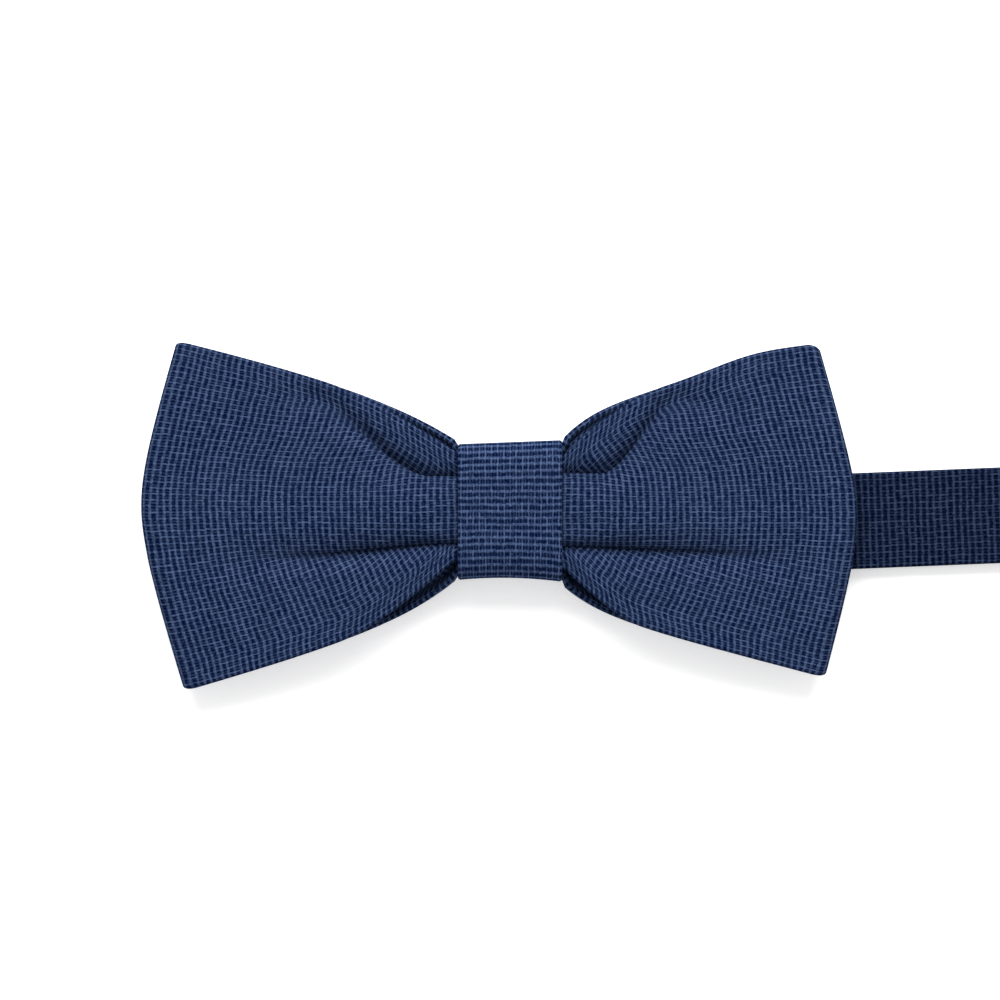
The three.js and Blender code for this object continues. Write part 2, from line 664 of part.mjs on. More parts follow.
// The hook: a slotted plate for the strap, with a tongue that turns back over itself as a lip.
function hook() {
  const lowZ = HOOK_BAR_Z - FITTING_THICKNESS / 2;
  const side = FITTING_OUTER_HALF_WIDTH;
  const roundingX = HOOK_SHOULDER_X - HOOK_SHOULDER_ROUNDING;
  const taperX = HOOK_SHOULDER_X + HOOK_SHOULDER_TAPER;
  const outline = new THREE.Shape();
  outline.moveTo(-BAR_HALF_WIDTH, -side);
  outline.lineTo(roundingX, -side);
  outline.quadraticCurveTo(HOOK_SHOULDER_X, -side, HOOK_SHOULDER_X, -HOOK_SHOULDER_HALF_WIDTH);
  outline.lineTo(taperX, -TONGUE_HALF_WIDTH);
  outline.lineTo(taperX, TONGUE_HALF_WIDTH);
  outline.lineTo(HOOK_SHOULDER_X, HOOK_SHOULDER_HALF_WIDTH);
  outline.quadraticCurveTo(HOOK_SHOULDER_X, side, roundingX, side);
  outline.lineTo(-BAR_HALF_WIDTH, side);
  outline.closePath();
  outline.holes.push(roundedRectangle(
    THREE.Path, BAR_HALF_WIDTH, HOOK_SLOT_END, FITTING_INNER_HALF_WIDTH, WINDOW_CORNER_RADIUS));

  const bendInner = THROAT_HEIGHT / 2;
  const bendOuter = bendInner + FITTING_THICKNESS;
  const bendX = HOOK_NOSE_X - bendOuter;
  const bendZ = lowZ + FITTING_THICKNESS + bendInner;
  const rootX = HOOK_SHOULDER_X + HOOK_TONGUE_OVERLAP;
  const lipX = bendX - LIP_LENGTH;
  const tongue = new THREE.Shape();
  tongue.moveTo(rootX, lowZ + JOIN_STEP);
  tongue.lineTo(bendX, lowZ);
  tongue.absarc(bendX, bendZ, bendOuter, -RIGHT_ANGLE, RIGHT_ANGLE);
  tongue.lineTo(lipX, bendZ + bendOuter + LIP_RISE);
  tongue.lineTo(lipX, bendZ + bendInner + LIP_RISE + LIP_THINNING);
  tongue.lineTo(bendX, bendZ + bendInner);
  tongue.absarc(bendX, bendZ, bendInner, RIGHT_ANGLE, -RIGHT_ANGLE, true);
  tongue.lineTo(rootX, lowZ + FITTING_THICKNESS - JOIN_STEP);
  tongue.closePath();

  const geometry = joined([plate(outline, lowZ, FITTING_THICKNESS), across(tongue, 0, TONGUE_HALF_WIDTH)]);
  geometry.translate(HOOK_X, 0, 0);
  return geometry;
}

// ---- the assembly ----

const bow = new THREE.Group();
const surface = bowSurface();
bow.add(named('bow_face', bowPly(surface, BOW_PLIES.face), cloth(NAVY)));
bow.add(named('bow_interlining', bowPly(surface, BOW_PLIES.interlining), cloth(CANVAS)));
bow.add(named('bow_lining', bowPly(surface, BOW_PLIES.lining), cloth(NAVY)));
bow.add(named('gathering_thread', gatheringThread(), cloth(THREAD_NAVY)));

const knotInset = KNOT_WRAP_PLY + KNOT_PLY_GAP;
const knot = new THREE.Group();
knot.add(named('knot_wrap', knotRing(KNOT_HALF_LENGTH, 0, KNOT_WRAP_PLY), cloth(NAVY)));
const knotCanvas = knotRing(
  KNOT_HALF_LENGTH - KNOT_INTERLINING_SETBACK, knotInset, knotInset + KNOT_INTERLINING_PLY);
knot.add(named('knot_interlining', knotCanvas, cloth(CANVAS)));
knot.add(named('knot_stitching', knotStitching(), cloth(THREAD_NAVY)));

const strap = new THREE.Group();
strap.add(named('strap_eye_end', strapTube(eyeEndPath()), cloth(STRAP_NAVY)));
strap.add(named('strap_lower_run', strapTube(lowerRunPath()), cloth(STRAP_NAVY)));
strap.add(named('strap_upper_run', strapTube(upperRunPath()), cloth(STRAP_NAVY)));
strap.add(named('neck_interlining', strapInterlining(neckInterliningPath()), cloth(CANVAS)));
strap.add(named('eye_bartack', bartack(EYE_BARTACK_X, SECOND_RUN_Z), cloth(THREAD_NAVY)));
strap.add(named('adjusting_strap', strapTube(adjustingPath()), cloth(STRAP_NAVY)));
strap.add(named('adjusting_interlining', strapInterlining(adjustingPath()), cloth(CANVAS)));
strap.add(named('strap_turn', strapTube(turnPath()), cloth(STRAP_NAVY)));
strap.add(named('tail_run', strapTube(tailRunPath()), cloth(STRAP_NAVY)));
strap.add(named('tail_loop', strapTube(tailLoopPath()), cloth(STRAP_NAVY)));
strap.add(named('tail_bartack', bartack(TAIL_BARTACK_X, THIRD_RUN_Z), cloth(THREAD_NAVY)));
strap.add(named('slider', slider(), nickel()));
strap.add(named('clasp_hook', hook(), nickel()));
strap.add(named('clasp_eye', eye(), nickel()));
strap.rotation.z = STRAP_TILT;
strap.position.y = STRAP_OFFSET_Y;

const bowTie = new THREE.Group();
bowTie.add(bow, knot, strap);

export default bowTie;
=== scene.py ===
"""Pre-tied bow tie: the pleated bow, the knot round it and the adjustable neck strap with its metal fittings.

Surfaces are worked out in millimetres, +X along the bow, +Y to its top and +Z out of its front, and are put
into meshes in metres. The origin is under the middle of the knot, on the surface that the strap rests on.
"""

import bmesh
import bpy
import numpy as np
from bpy.props import FloatProperty, FloatVectorProperty, PointerProperty
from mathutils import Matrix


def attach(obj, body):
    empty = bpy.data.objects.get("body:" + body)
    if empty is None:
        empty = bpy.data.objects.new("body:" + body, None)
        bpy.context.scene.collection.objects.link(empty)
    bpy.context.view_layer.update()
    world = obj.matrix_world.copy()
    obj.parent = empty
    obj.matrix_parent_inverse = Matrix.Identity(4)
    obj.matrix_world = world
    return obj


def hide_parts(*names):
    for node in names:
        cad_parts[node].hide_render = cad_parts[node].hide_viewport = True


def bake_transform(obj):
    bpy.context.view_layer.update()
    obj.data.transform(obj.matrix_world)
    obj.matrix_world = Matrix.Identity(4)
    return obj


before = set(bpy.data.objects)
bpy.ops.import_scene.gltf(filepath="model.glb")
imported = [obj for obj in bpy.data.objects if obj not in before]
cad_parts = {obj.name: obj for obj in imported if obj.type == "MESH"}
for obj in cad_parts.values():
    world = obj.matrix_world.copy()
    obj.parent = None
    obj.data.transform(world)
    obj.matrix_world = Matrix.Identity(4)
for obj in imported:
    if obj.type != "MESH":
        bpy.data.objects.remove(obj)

bl_info = {
    "name": "Pre-tied bow tie",
    "version": (1, 0, 0),
    "blender": (4, 5, 0),
    "location": "3D View > Sidebar > Bow Tie",
    "description": "Makes the cloth, canvas, stitches and metal fittings of a pre-tied bow tie",
    "category": "Object",
}

MM = 0.001

# ---- the bow's outline, as the frame has it ----

KNOT_HALF_LENGTH = 8.7
BOW_START_HALF_HEIGHT = 10.3
PINCHED_HALF_HEIGHT = 9.2
FLARE_REACH = 0.12
NOMINAL_HALF_SPAN = 58.0
TIP_ROUNDING = 9.0
TIP_FOLD_RADIUS = 1.9
TIP_CENTRE_Z = 7.0
REAR_LAYER_Z = 5.0
FRONT_LAYER_Z = 10.5

# Each wing edge flares at the knot to "start", rises by "rise" over about "reach", and runs on at "slope"
# with a low bulge, "swell". The front layer begins "gap" inside it and has met it after "gap_reach", and the
# rear layer ends "tuck" inside it. The pleat beside it starts at height "at", climbs by "climb" between two
# distances from the middle and fades over "fade", and a soft hollow follows it as far as "hollow".
WINGS = {
    "left": {
        "side": -1,
        "tip": {"x": 61.6, "y": 0.9, "top_rake": 0.285, "bottom_rake": 0.295},
        "top": {
            "start": 11.45, "rise": 6.34, "reach": 15.0, "slope": 0.231, "swell": 0.0,
            "gap": 1.9, "gap_reach": 22.0, "tuck": 0.8,
            "at": 5.6, "climb": 12.0, "climb_from": 13.0, "climb_to": 34.0, "fade": 16.0, "hollow": 30.0,
        },
        "bottom": {
            "start": 11.2, "rise": 5.84, "reach": 10.0, "slope": 0.289, "swell": 0.0,
            "gap": 3.3, "gap_reach": 20.0, "tuck": 1.0,
            "at": 5.3, "climb": 1.9, "climb_from": 9.0, "climb_to": 37.0, "fade": 26.0, "hollow": 34.0,
        },
    },
    "right": {
        "side": 1,
        "tip": {"x": 57.95, "y": -1.0, "top_rake": 0.283, "bottom_rake": 0.26},
        "top": {
            "start": 11.6, "rise": 4.63, "reach": 5.0, "slope": 0.264, "swell": 1.44,
            "gap": 2.8, "gap_reach": 17.0, "tuck": 2.4,
            "at": 6.1, "climb": 11.0, "climb_from": 15.0, "climb_to": 28.0, "fade": 13.0, "hollow": 28.0,
        },
        "bottom": {
            "start": 12.3, "rise": 4.05, "reach": 6.0, "slope": 0.264, "swell": 0.0,
            "gap": 2.9, "gap_reach": 13.5, "tuck": 1.0,
            "at": 5.8, "climb": 1.6, "climb_from": 9.0, "climb_to": 56.0, "fade": 30.0, "hollow": 44.0,
        },
    },
}
SWELL_AT = 32.0
SWELL_WIDTH = 10.0

# ---- the pleats and the roundness of the layers ----

# A pleat turns under over its own width and a widening, a shallow dip lies on its raised side, and the
# cloth climbs again after it. The front layer is crowned as a whole, puffed beside the knot and faintly
# rippled, the rear layer is gathered, and the edges of both curl towards each other.
PLEAT_MIDDLE_SHARE = 0.4
PLEAT_WIDENING = 1.2
PLEAT_WIDENING_FAR = 3.0
PLEAT_REST_DEPTH = 0.15
DIP_DEPTH = 0.8
DIP_WIDTH = 2.2
DIP_SHARE = 0.3
CLIMB_FROM_SHARE = 0.45
CLIMB_TO_SHARE = 0.5
CLIMB_WIDTH = 3.8
HOLLOW_DEPTH = 1.4
HOLLOW_ONSET = 8
HOLLOW_OFFSET = 0.8
HOLLOW_WIDTH = 3.0
GAP_ONSET = (-2, 1)
CROWN_HEIGHT = 1.0
PUFF_HEIGHT = 0.9
PUFF_ONSET = 3
PUFF_REACH = 16
PUFF_HALF_WIDTH = 8
FRONT_CURL = {"depth": 1.1, "power": 6, "reach": 15}
REAR_CURL = {"depth": 1.9, "power": 14, "reach": 18}
RIPPLE_HEIGHT = 0.12
RIPPLE_ONSET = 12
TUCK_BETWEEN = (16, 44)
GATHER_HEIGHT = 0.3
GATHER_WAVES = 7.5
GATHER_PHASE = 0.6
GATHER_REACH = 14

# ---- the knot's section ----

KNOT_FRONT_Z = 13.15
KNOT_BACK_Z = 2.6
KNOT_TOP_Y = 11.42
KNOT_TOP_LEAN = 0.33
KNOT_BOTTOM_Y = 11.25
KNOT_BOTTOM_HOLLOW = 0.5
KNOT_BOTTOM_LEAN = 0.15
KNOT_END_ROUNDING = 0.3
KNOT_SEAM_ANGLE = 0.02
KNOT_CANVAS_CLEARANCE = 0.12
KNOT_CANVAS_SHORTER = 1.2

# ---- the strap's places, as the frame has them ----

STRAP_TILT = np.radians(2.3)
STRAP_OFFSET_Y = -4.1
STRAP_WIDTH = 16.1
STRAP_THICKNESS = 1.0
CANVAS_THICKNESS = 0.2
CANVAS_WIDTH = 14.6
RUN_Z = (0.5, 1.8, 3.1, 4.4)
FOLD_X = -20.0
NECK_STRAP_END_X = 10.0
SLIDER_X = 95.0
SLIDER_OUTER_BAR_X = 89.35
HOOK_X = 155.0
EYE_X = 205.0
SLIDER_BAR_Z = 3.05
HUMP_Z = 5.55
HOOK_BAR_Z = 3.25
EYE_BAR_Z = 1.95
TURN_RADIUS = 1.45
SLIDER_TURN_RADIUS = 1.25
HUMP_REACH = 5.5
EYE_END_LENGTH = 13
EYE_END_RAMP = 7
WING_CLEAR_X = 60
SAG_X = 67.5
SAG_DEPTH = 0.3
SAG_WIDTH = 1.5
SLIDER_RAMP_FROM = 12
SLIDER_RAMP_TO = 6
HOOK_RUN_RAMP_FROM = 11
HOOK_RUN_RAMP_TO = 18
HOOK_RAMP_FROM = 14
HOOK_RAMP_TO = 2
TAIL_LENGTH = 9.5
EYE_TACK_X = EYE_X - 10
TAIL_TACK_X = SLIDER_X + 8
KNOT_DRAW_IN = 1.5
KNOT_DRAW_REACH = 17.0

# The fine groove where the folded strap's two edges meet.
STRAP_GROOVE_DEPTH = 0.16
STRAP_GROOVE_WIDTH = 0.35

THREAD_RADIUS = 0.13
KNOT_STITCHES = {"length": 14, "half_width": 0.9, "turns": 7}
BARTACK = {"length": 13, "half_width": 0.7, "turns": 14}

# Half the number of points on a sheet's rounded edge.
EDGE_STEPS = 3

# ---- the weave ----

# The two sets of threads: where a ridge starts and stops rising between the gap (0) and the thread's middle
# line (1), how far it wanders in millimetres, how far a stretch between two crossings shifts as a share of
# the pitch, and how much of its brightness is the same for all, its own, a slub's and a stretch's.
RIBS = {
    "low": 0.3, "high": 0.86, "wander": 0.55, "shift": 0.1,
    "even": 0.26, "own": 0.1, "slub": 0.5, "stretch": 0.42,
}
CROSS_THREADS = {
    "low": 0.2, "high": 0.85, "wander": 0.45, "shift": 0.22,
    "even": 0.1, "own": 0.1, "stretch": 0.7,
}
JITTER = 0.2
LOW_THREAD_SHARE = 0.34
KNUCKLE_BASE = 0.6
KNUCKLE_GAIN = 0.5
CROSS_LIGHT_SHARE = 0.92
CROSSING_LIGHT = 0.3
FIBRE_CONTRAST = 2.8
FIBRE_LIGHT_IN_GROUND = 0.18
CLOUD_CONTRAST = 0.08
BRIGHTEST = 1.4
CLOTH_ROUGHNESS = 0.95
CLOTH_RELIEF = 0.1

# Noise on the pattern coordinates, as repeats in a millimetre.
WANDER_SCALE = 0.16
JITTER_SCALE = 1.3
SLUB_SCALE = 0.9
SLUB_STRETCH = (2.6, 0.3, 1.0)
FIBRE_SCALE = 3.6
CLOUD_SCALE = 0.05

# Brightness factor of each copy of the cloth: the knot's copy is painted light and the strap's painted shade.
BOW_SHADE = 1.04
KNOT_PAINTED_LIGHT = 1.14
STRAP_PAINTED_SHADE = 0.52
THREAD_DARK = (0.004, 0.008, 0.026, 1)
THREAD_LIGHT = (0.020, 0.034, 0.080, 1)

# ---- the stage, in metres ----

FLOOR_HALF_SIZE = 1.5
FLOOR_CELLS = 8
CAMERA_DISTANCE = 1.2
CAMERA_AIM = (-1.667 * MM, 1.75 * MM, 9 * MM)
SENSOR_WIDTH = 36


# ---- settings ----

class BowSettings(bpy.types.PropertyGroup):
    """Sizes of the pleated bow."""
    cloth_half_width: FloatProperty(
        name="Half width of cloth",
        description="Half the width of the flattened cloth tube that the bow is folded from",
        default=29 * MM, min=20 * MM, max=40 * MM, unit="LENGTH")
    layer_thickness: FloatProperty(
        name="Layer thickness",
        description="Thickness of one flattened tube: two plies of cloth with canvas between",
        default=1.2 * MM, min=0.4 * MM, max=3 * MM, unit="LENGTH")
    panel_share: FloatProperty(
        name="Panel share",
        description="Share of its flat width that the raised middle panel keeps at the knot",
        default=0.93, min=0.7, max=1.1)
    pleat_depth: FloatProperty(
        name="Pleat depth", description="How far the cloth beside the raised pleat lies below it at the knot",
        default=3.8 * MM, min=0, max=4 * MM, unit="LENGTH")


class KnotSettings(bpy.types.PropertyGroup):
    """Sizes of the knot."""
    thickness: FloatProperty(
        name="Wrap thickness", description="Thickness of the folded strip that is wrapped round the middle",
        default=0.9 * MM, min=0.3 * MM, max=1.1 * MM, unit="LENGTH")
    squareness: FloatProperty(
        name="Squareness", description="Power of the wrap's section: 2 is an ellipse, and more is squarer",
        default=4.0, min=2.0, max=8.0)


class ClothSettings(bpy.types.PropertyGroup):
    """Colours and thread spacing of the woven cloth."""
    light: FloatVectorProperty(
        name="Light thread", description="Colour of the raised threads",
        default=(0.056, 0.086, 0.170), size=3, min=0, max=1, subtype="COLOR")
    dark: FloatVectorProperty(
        name="Dark thread", description="Colour of the ground between the raised threads",
        default=(0.0001, 0.0030, 0.0205), size=3, min=0, max=1, subtype="COLOR")
    rib_pitch: FloatProperty(
        name="Rib spacing", description="Distance between the heavy threads",
        default=1.10 * MM, min=0.2 * MM, max=4 * MM, unit="LENGTH")
    cross_pitch: FloatProperty(
        name="Cross thread spacing",
        description="Distance between the fine threads that cross the heavy ones",
        default=0.51 * MM, min=0.1 * MM, max=4 * MM, unit="LENGTH")


class MetalSettings(bpy.types.PropertyGroup):
    """Finish of the slider, hook and eye."""
    colour: FloatVectorProperty(
        name="Nickel", description="Colour of the nickel plate",
        default=(0.40, 0.395, 0.38), size=3, min=0, max=1, subtype="COLOR")
    edge_radius: FloatProperty(
        name="Edge radius", description="Radius that the stamped edges are tumbled to",
        default=0.13 * MM, min=0.02 * MM, max=0.4 * MM, unit="LENGTH")


class StageSettings(bpy.types.PropertyGroup):
    """Floor, lights and camera."""
    floor: FloatVectorProperty(
        name="Floor", description="Colour of the floor", default=(0.93, 0.93, 0.93),
        size=3, min=0, max=1, subtype="COLOR")
    key_power: FloatProperty(
        name="Key light", description="Power of the soft light beyond the bow's top edge",
        default=19.0, min=0, max=200, unit="POWER")
    fill_power: FloatProperty(
        name="Fill light", description="Power of the light overhead",
        default=3.0, min=0, max=200, unit="POWER")
    sky: FloatProperty(
        name="Surround", description="Strength of the even light from all round", default=0.55, min=0, max=5)
    view_width: FloatProperty(
        name="View width", description="Width that the camera sees at the bow", default=166.7 * MM,
        min=50 * MM, max=1, unit="LENGTH")


class BowTieSettings(bpy.types.PropertyGroup):
    """All the settings, one group for each part of the bow tie."""
    bow: PointerProperty(type=BowSettings)
    knot: PointerProperty(type=KnotSettings)
    cloth: PointerProperty(type=ClothSettings)
    metal: PointerProperty(type=MetalSettings)
    stage: PointerProperty(type=StageSettings)


# ---- shader expressions ----

class Signal:
    """A number that varies over a surface. Operators on it add Math nodes."""

    def __init__(self, finish, socket):
        self.finish = finish
        self.socket = socket

    def __add__(self, other):
        return self.finish.math("ADD", self, other)

    __radd__ = __add__

    def __sub__(self, other):
        return self.finish.math("SUBTRACT", self, other)

    def __rsub__(self, other):
        return self.finish.math("SUBTRACT", other, self)

    def __mul__(self, other):
        return self.finish.math("MULTIPLY", self, other)

    __rmul__ = __mul__

    def __truediv__(self, other):
        return self.finish.math("DIVIDE", self, other)


class Finish:
    """A material and the nodes that make its look."""

    def __init__(self, name):
        self.material = bpy.data.materials.new(name)
        self.material.use_nodes = True
        self.tree = self.material.node_tree
        self.tree.nodes.clear()

    def add(self, kind, settings=None, sockets=None):
        """Adds a node: its settings first, then the values or links of its sockets."""
        node = self.tree.nodes.new(kind)
        for name, value in (settings or {}).items():
            setattr(node, name, value)
        for name, value in (sockets or {}).items():
            self._plug(node.inputs[name], value)
        return node

    def _plug(self, socket, value):
        source = value.socket if isinstance(value, Signal) else value
        if isinstance(source, bpy.types.NodeSocket):
            self.tree.links.new(source, socket)
        else:
            socket.default_value = source

    def signal(self, kind, settings=None, sockets=None, output=0):
        return Signal(self, self.add(kind, settings, sockets).outputs[output])

    def math(self, operation, first, second=0.0):
        return self.signal("ShaderNodeMath", {"operation": operation}, {0: first, 1: second})

    def step(self, value, low, high):
        """0 below low, 1 above high and a smooth rise between them."""
        return self.signal(
            "ShaderNodeMapRange", {"interpolation_type": "SMOOTHSTEP"},
            {"Value": value, "From Min": low, "From Max": high})

    def noise(self, vector, scale, detail=2.0, roughness=0.5):
        return self.signal(
            "ShaderNodeTexNoise", None,
            {"Vector": vector, "Scale": scale, "Detail": detail, "Roughness": roughness})

    def mix_colour(self, factor, first, second):
        node = self.add("ShaderNodeMix", {"data_type": "RGBA"}, {0: factor, 6: first, 7: second})
        return node.outputs[2]

    def scaled(self, vector, factors):
        node = self.add("ShaderNodeVectorMath", {"operation": "MULTIPLY"}, {0: vector, 1: factors})
        return node.outputs[0]

    def bump(self, height, distance, strength=1.0):
        sockets = {"Strength": strength, "Distance": distance, "Height": height}
        return self.add("ShaderNodeBump", None, sockets).outputs[0]

    def shade(self, sockets):
        """Ends the material with one Principled shader."""
        shader = self.add("ShaderNodeBsdfPrincipled", None, sockets)
        self.add("ShaderNodeOutputMaterial", None, {"Surface": shader.outputs[0]})
        return self.material


def rgba(colour, factor=1.0):
    return (*(factor * channel for channel in colour), 1.0)


# ---- materials ----

def woven_cloth(name, cloth, shade=1.0):
    """Navy cloth with a raised grid: heavy threads one rib_pitch apart and fine threads across them.

    The first pattern coordinate counts the heavy threads, or ribs, and the second the fine ones. Each thread
    is a smooth ridge over the distance from its middle line. It wanders by a few tenths of a millimetre and
    has a brightness of its own, a rib has slubs along it, and each stretch between two crossings is
    brightened and shifted by chance. Every other fine thread lies low. The ground shows where no ridge does.
    """
    finish = Finish(name)
    pattern = finish.add("ShaderNodeUVMap", {"uv_map": "weave"}).outputs[0]
    split = finish.add("ShaderNodeSeparateXYZ", None, {0: pattern})
    rib_axis = Signal(finish, split.outputs[0])
    cross_axis = Signal(finish, split.outputs[1])
    rib_pitch = cloth.rib_pitch / MM
    cross_pitch = cloth.cross_pitch / MM

    wander = finish.noise(pattern, WANDER_SCALE) - 0.5
    jitter = finish.noise(pattern, JITTER_SCALE) - 0.5
    rib_axis = rib_axis + wander * RIBS["wander"] + jitter * JITTER
    cross_axis = cross_axis + wander * CROSS_THREADS["wander"] - jitter * JITTER

    def ridge(axis, pitch, look):
        """1 on a thread's middle line and 0 halfway to the next."""
        rise = finish.math("PINGPONG", axis, pitch / 2) / (pitch / 2)
        return finish.step(rise, look["low"], look["high"])

    def number_of(axis, pitch):
        return finish.math("FLOOR", axis / pitch)

    def chance(first, second, seed):
        """A random number for each thread, or for each stretch of it between two threads that cross it."""
        place = finish.add("ShaderNodeCombineXYZ", None, {0: first + seed, 1: second}).outputs[0]
        return finish.signal("ShaderNodeTexWhiteNoise", {"noise_dimensions": "2D"}, {"Vector": place})

    rib_number = number_of(rib_axis, rib_pitch)
    cross_number = number_of(cross_axis, cross_pitch)
    gap_number = number_of(rib_axis + rib_pitch / 2, rib_pitch)
    rib_own = chance(rib_number, 0.0, 3.5)
    cross_own = chance(cross_number, 0.0, 71.5)
    rib_stretch = chance(rib_number, cross_number, 11.5)
    cross_stretch = chance(cross_number, gap_number, 37.5)
    rib_shift = (chance(rib_number, cross_number, 53.5) - 0.5) * rib_pitch * RIBS["shift"]
    cross_shift = (chance(cross_number, gap_number, 91.5) - 0.5) * cross_pitch * CROSS_THREADS["shift"]
    rib = ridge(rib_axis + rib_shift, rib_pitch, RIBS)
    cross = ridge(cross_axis + cross_shift, cross_pitch, CROSS_THREADS)
    every_other = finish.math("PINGPONG", cross_number, 1.0)
    rib_slub = finish.noise(finish.scaled(pattern, SLUB_STRETCH), SLUB_SCALE, 3.0, 0.65)
    fibres = finish.noise(pattern, FIBRE_SCALE, 3.0, 0.75)
    clouds = finish.noise(pattern, CLOUD_SCALE)

    raised = LOW_THREAD_SHARE + every_other * (1 - LOW_THREAD_SHARE)
    knuckle = KNUCKLE_BASE + cross * raised * KNUCKLE_GAIN
    rib_light = rib * knuckle * (
        RIBS["even"] + rib_own * RIBS["own"] + rib_slub * RIBS["slub"] + rib_stretch * RIBS["stretch"])
    cross_light = cross * raised * (
        CROSS_THREADS["even"] + cross_own * CROSS_THREADS["own"] + cross_stretch * CROSS_THREADS["stretch"])
    crossing_light = rib_light * cross_light * CROSSING_LIGHT
    light = finish.math("MAXIMUM", rib_light, cross_light * CROSS_LIGHT_SHARE) + crossing_light
    hairiness = (fibres - 0.5) * FIBRE_CONTRAST * (light + FIBRE_LIGHT_IN_GROUND)
    light = light + hairiness + (clouds - 0.5) * CLOUD_CONTRAST
    light = finish.math("MINIMUM", finish.math("MAXIMUM", light, 0.0), BRIGHTEST)

    # shade scales both colours: painted light on the knot's copy and painted shade on the strap's.
    colour = finish.mix_colour(light, rgba(cloth.dark, shade), rgba(cloth.light, shade))
    threads = finish.math("MAXIMUM", rib * (0.8 + rib_stretch * 0.2), cross * raised * 0.8)
    return finish.shade({
        "Base Color": colour,
        "Roughness": CLOTH_ROUGHNESS - light * 0.12,
        "Normal": finish.bump(threads + fibres * 0.4, CLOTH_RELIEF * MM, 0.8),
        "Specular IOR Level": 0.0,
    })


def undyed_canvas():
    """Plain-weave interlining: two equal sets of ridges on Object coordinates, with mottling."""
    finish = Finish("undyed canvas")
    place = finish.add("ShaderNodeTexCoord").outputs["Object"]
    split = finish.add("ShaderNodeSeparateXYZ", None, {0: place})
    half_pitch = 0.25 * MM
    axes = [Signal(finish, split.outputs[axis]) for axis in (0, 1)]
    ridges = [finish.math("PINGPONG", axis, half_pitch) / half_pitch for axis in axes]
    mottling = finish.noise(place, 400.0, 3.0)
    light = (ridges[0] + ridges[1]) * 0.35 + mottling * 0.4
    return finish.shade({
        "Base Color": finish.mix_colour(light, (0.42, 0.40, 0.34, 1), (0.78, 0.75, 0.67, 1)),
        "Roughness": 0.97 - light * 0.1,
        "Normal": finish.bump(light, 0.06 * MM, 0.7),
    })


def sewing_thread():
    """Navy twisted thread: its strands show as slanted stripes on the thread's own pattern coordinates."""
    finish = Finish("sewing thread")
    pattern = finish.add("ShaderNodeUVMap", {"uv_map": "weave"}).outputs[0]
    split = finish.add("ShaderNodeSeparateXYZ", None, {0: pattern})
    slant = Signal(finish, split.outputs[0]) + Signal(finish, split.outputs[1])
    strand_width = 0.2
    strand = finish.math("PINGPONG", slant, strand_width) / strand_width
    fuzz = finish.noise(pattern, 6.0, 3.0)
    light = strand * 0.6 + fuzz * 0.4
    return finish.shade({
        "Base Color": finish.mix_colour(light, THREAD_DARK, THREAD_LIGHT),
        "Roughness": 0.75 - light * 0.2,
        "Normal": finish.bump(light, 0.04 * MM),
    })


def bound_thread():
    """The same thread on a frame node, which has no pattern coordinates: an even fuzz of a third of a mm."""
    finish = Finish("bound thread")
    place = finish.add("ShaderNodeTexCoord").outputs["Object"]
    fuzz = finish.noise(finish.scaled(place, (3000.0, 3000.0, 3000.0)), 1.0, 3.0)
    return finish.shade({
        "Base Color": finish.mix_colour(fuzz, THREAD_DARK, THREAD_LIGHT),
        "Roughness": 0.8 - fuzz * 0.2,
        "Normal": finish.bump(fuzz, 0.04 * MM),
    })


def nickel_plate(metal):
    """Polished nickel with fine brushing along Y, cloudy roughness and a few dull rubbed spots."""
    finish = Finish("nickel plate")
    place = finish.add("ShaderNodeTexCoord").outputs["Object"]
    brushing = (9000.0, 300.0, 9000.0)
    brushed = finish.noise(finish.scaled(place, brushing), 1.0, 3.0, 0.6)
    clouds = finish.noise(place, 260.0, 3.0)
    rubbed = finish.step(finish.noise(place, 520.0, 4.0, 0.65), 0.6, 0.78)
    roughness = 0.16 + clouds * 0.12 + brushed * 0.08 + rubbed * 0.18
    worn = rgba(metal.colour, 0.72)
    return finish.shade({
        "Base Color": finish.mix_colour(rubbed * 0.6 + clouds * 0.2, rgba(metal.colour), worn),
        "Metallic": 1.0,
        "Roughness": roughness,
        "Normal": finish.bump(brushed, 0.01 * MM, 0.5),
    })


def pale_floor(colour):
    """Matt card: an even pale colour with a faint grain."""
    finish = Finish("pale floor")
    place = finish.add("ShaderNodeTexCoord").outputs["Object"]
    grain = finish.noise(place, 90.0, 3.0)
    return finish.shade({
        "Base Color": finish.mix_colour(grain, rgba(colour), rgba(colour, 0.985)),
        "Roughness": 0.9 + grain * 0.05,
        "Specular IOR Level": 0.1,
        "Emission Color": (1, 1, 1, 1),
        "Emission Strength": 0.4,
    })


# ---- surfaces ----

def smoothstep(low, high, x):
    t = np.clip((x - low) / (high - low), 0, 1)
    return t * t * (3 - 2 * t)


def unit(vectors):
    return vectors / np.maximum(np.linalg.norm(vectors, axis=-1, keepdims=True), 1e-9)


def ring_rows(count):
    """Row of each point of a ring: half the bottom edge, up, round the top, down, the other half."""
    up = list(range(count))
    return [0] * EDGE_STEPS + up + [count - 1] * (2 * EDGE_STEPS) + up[::-1] + [0] * EDGE_STEPS


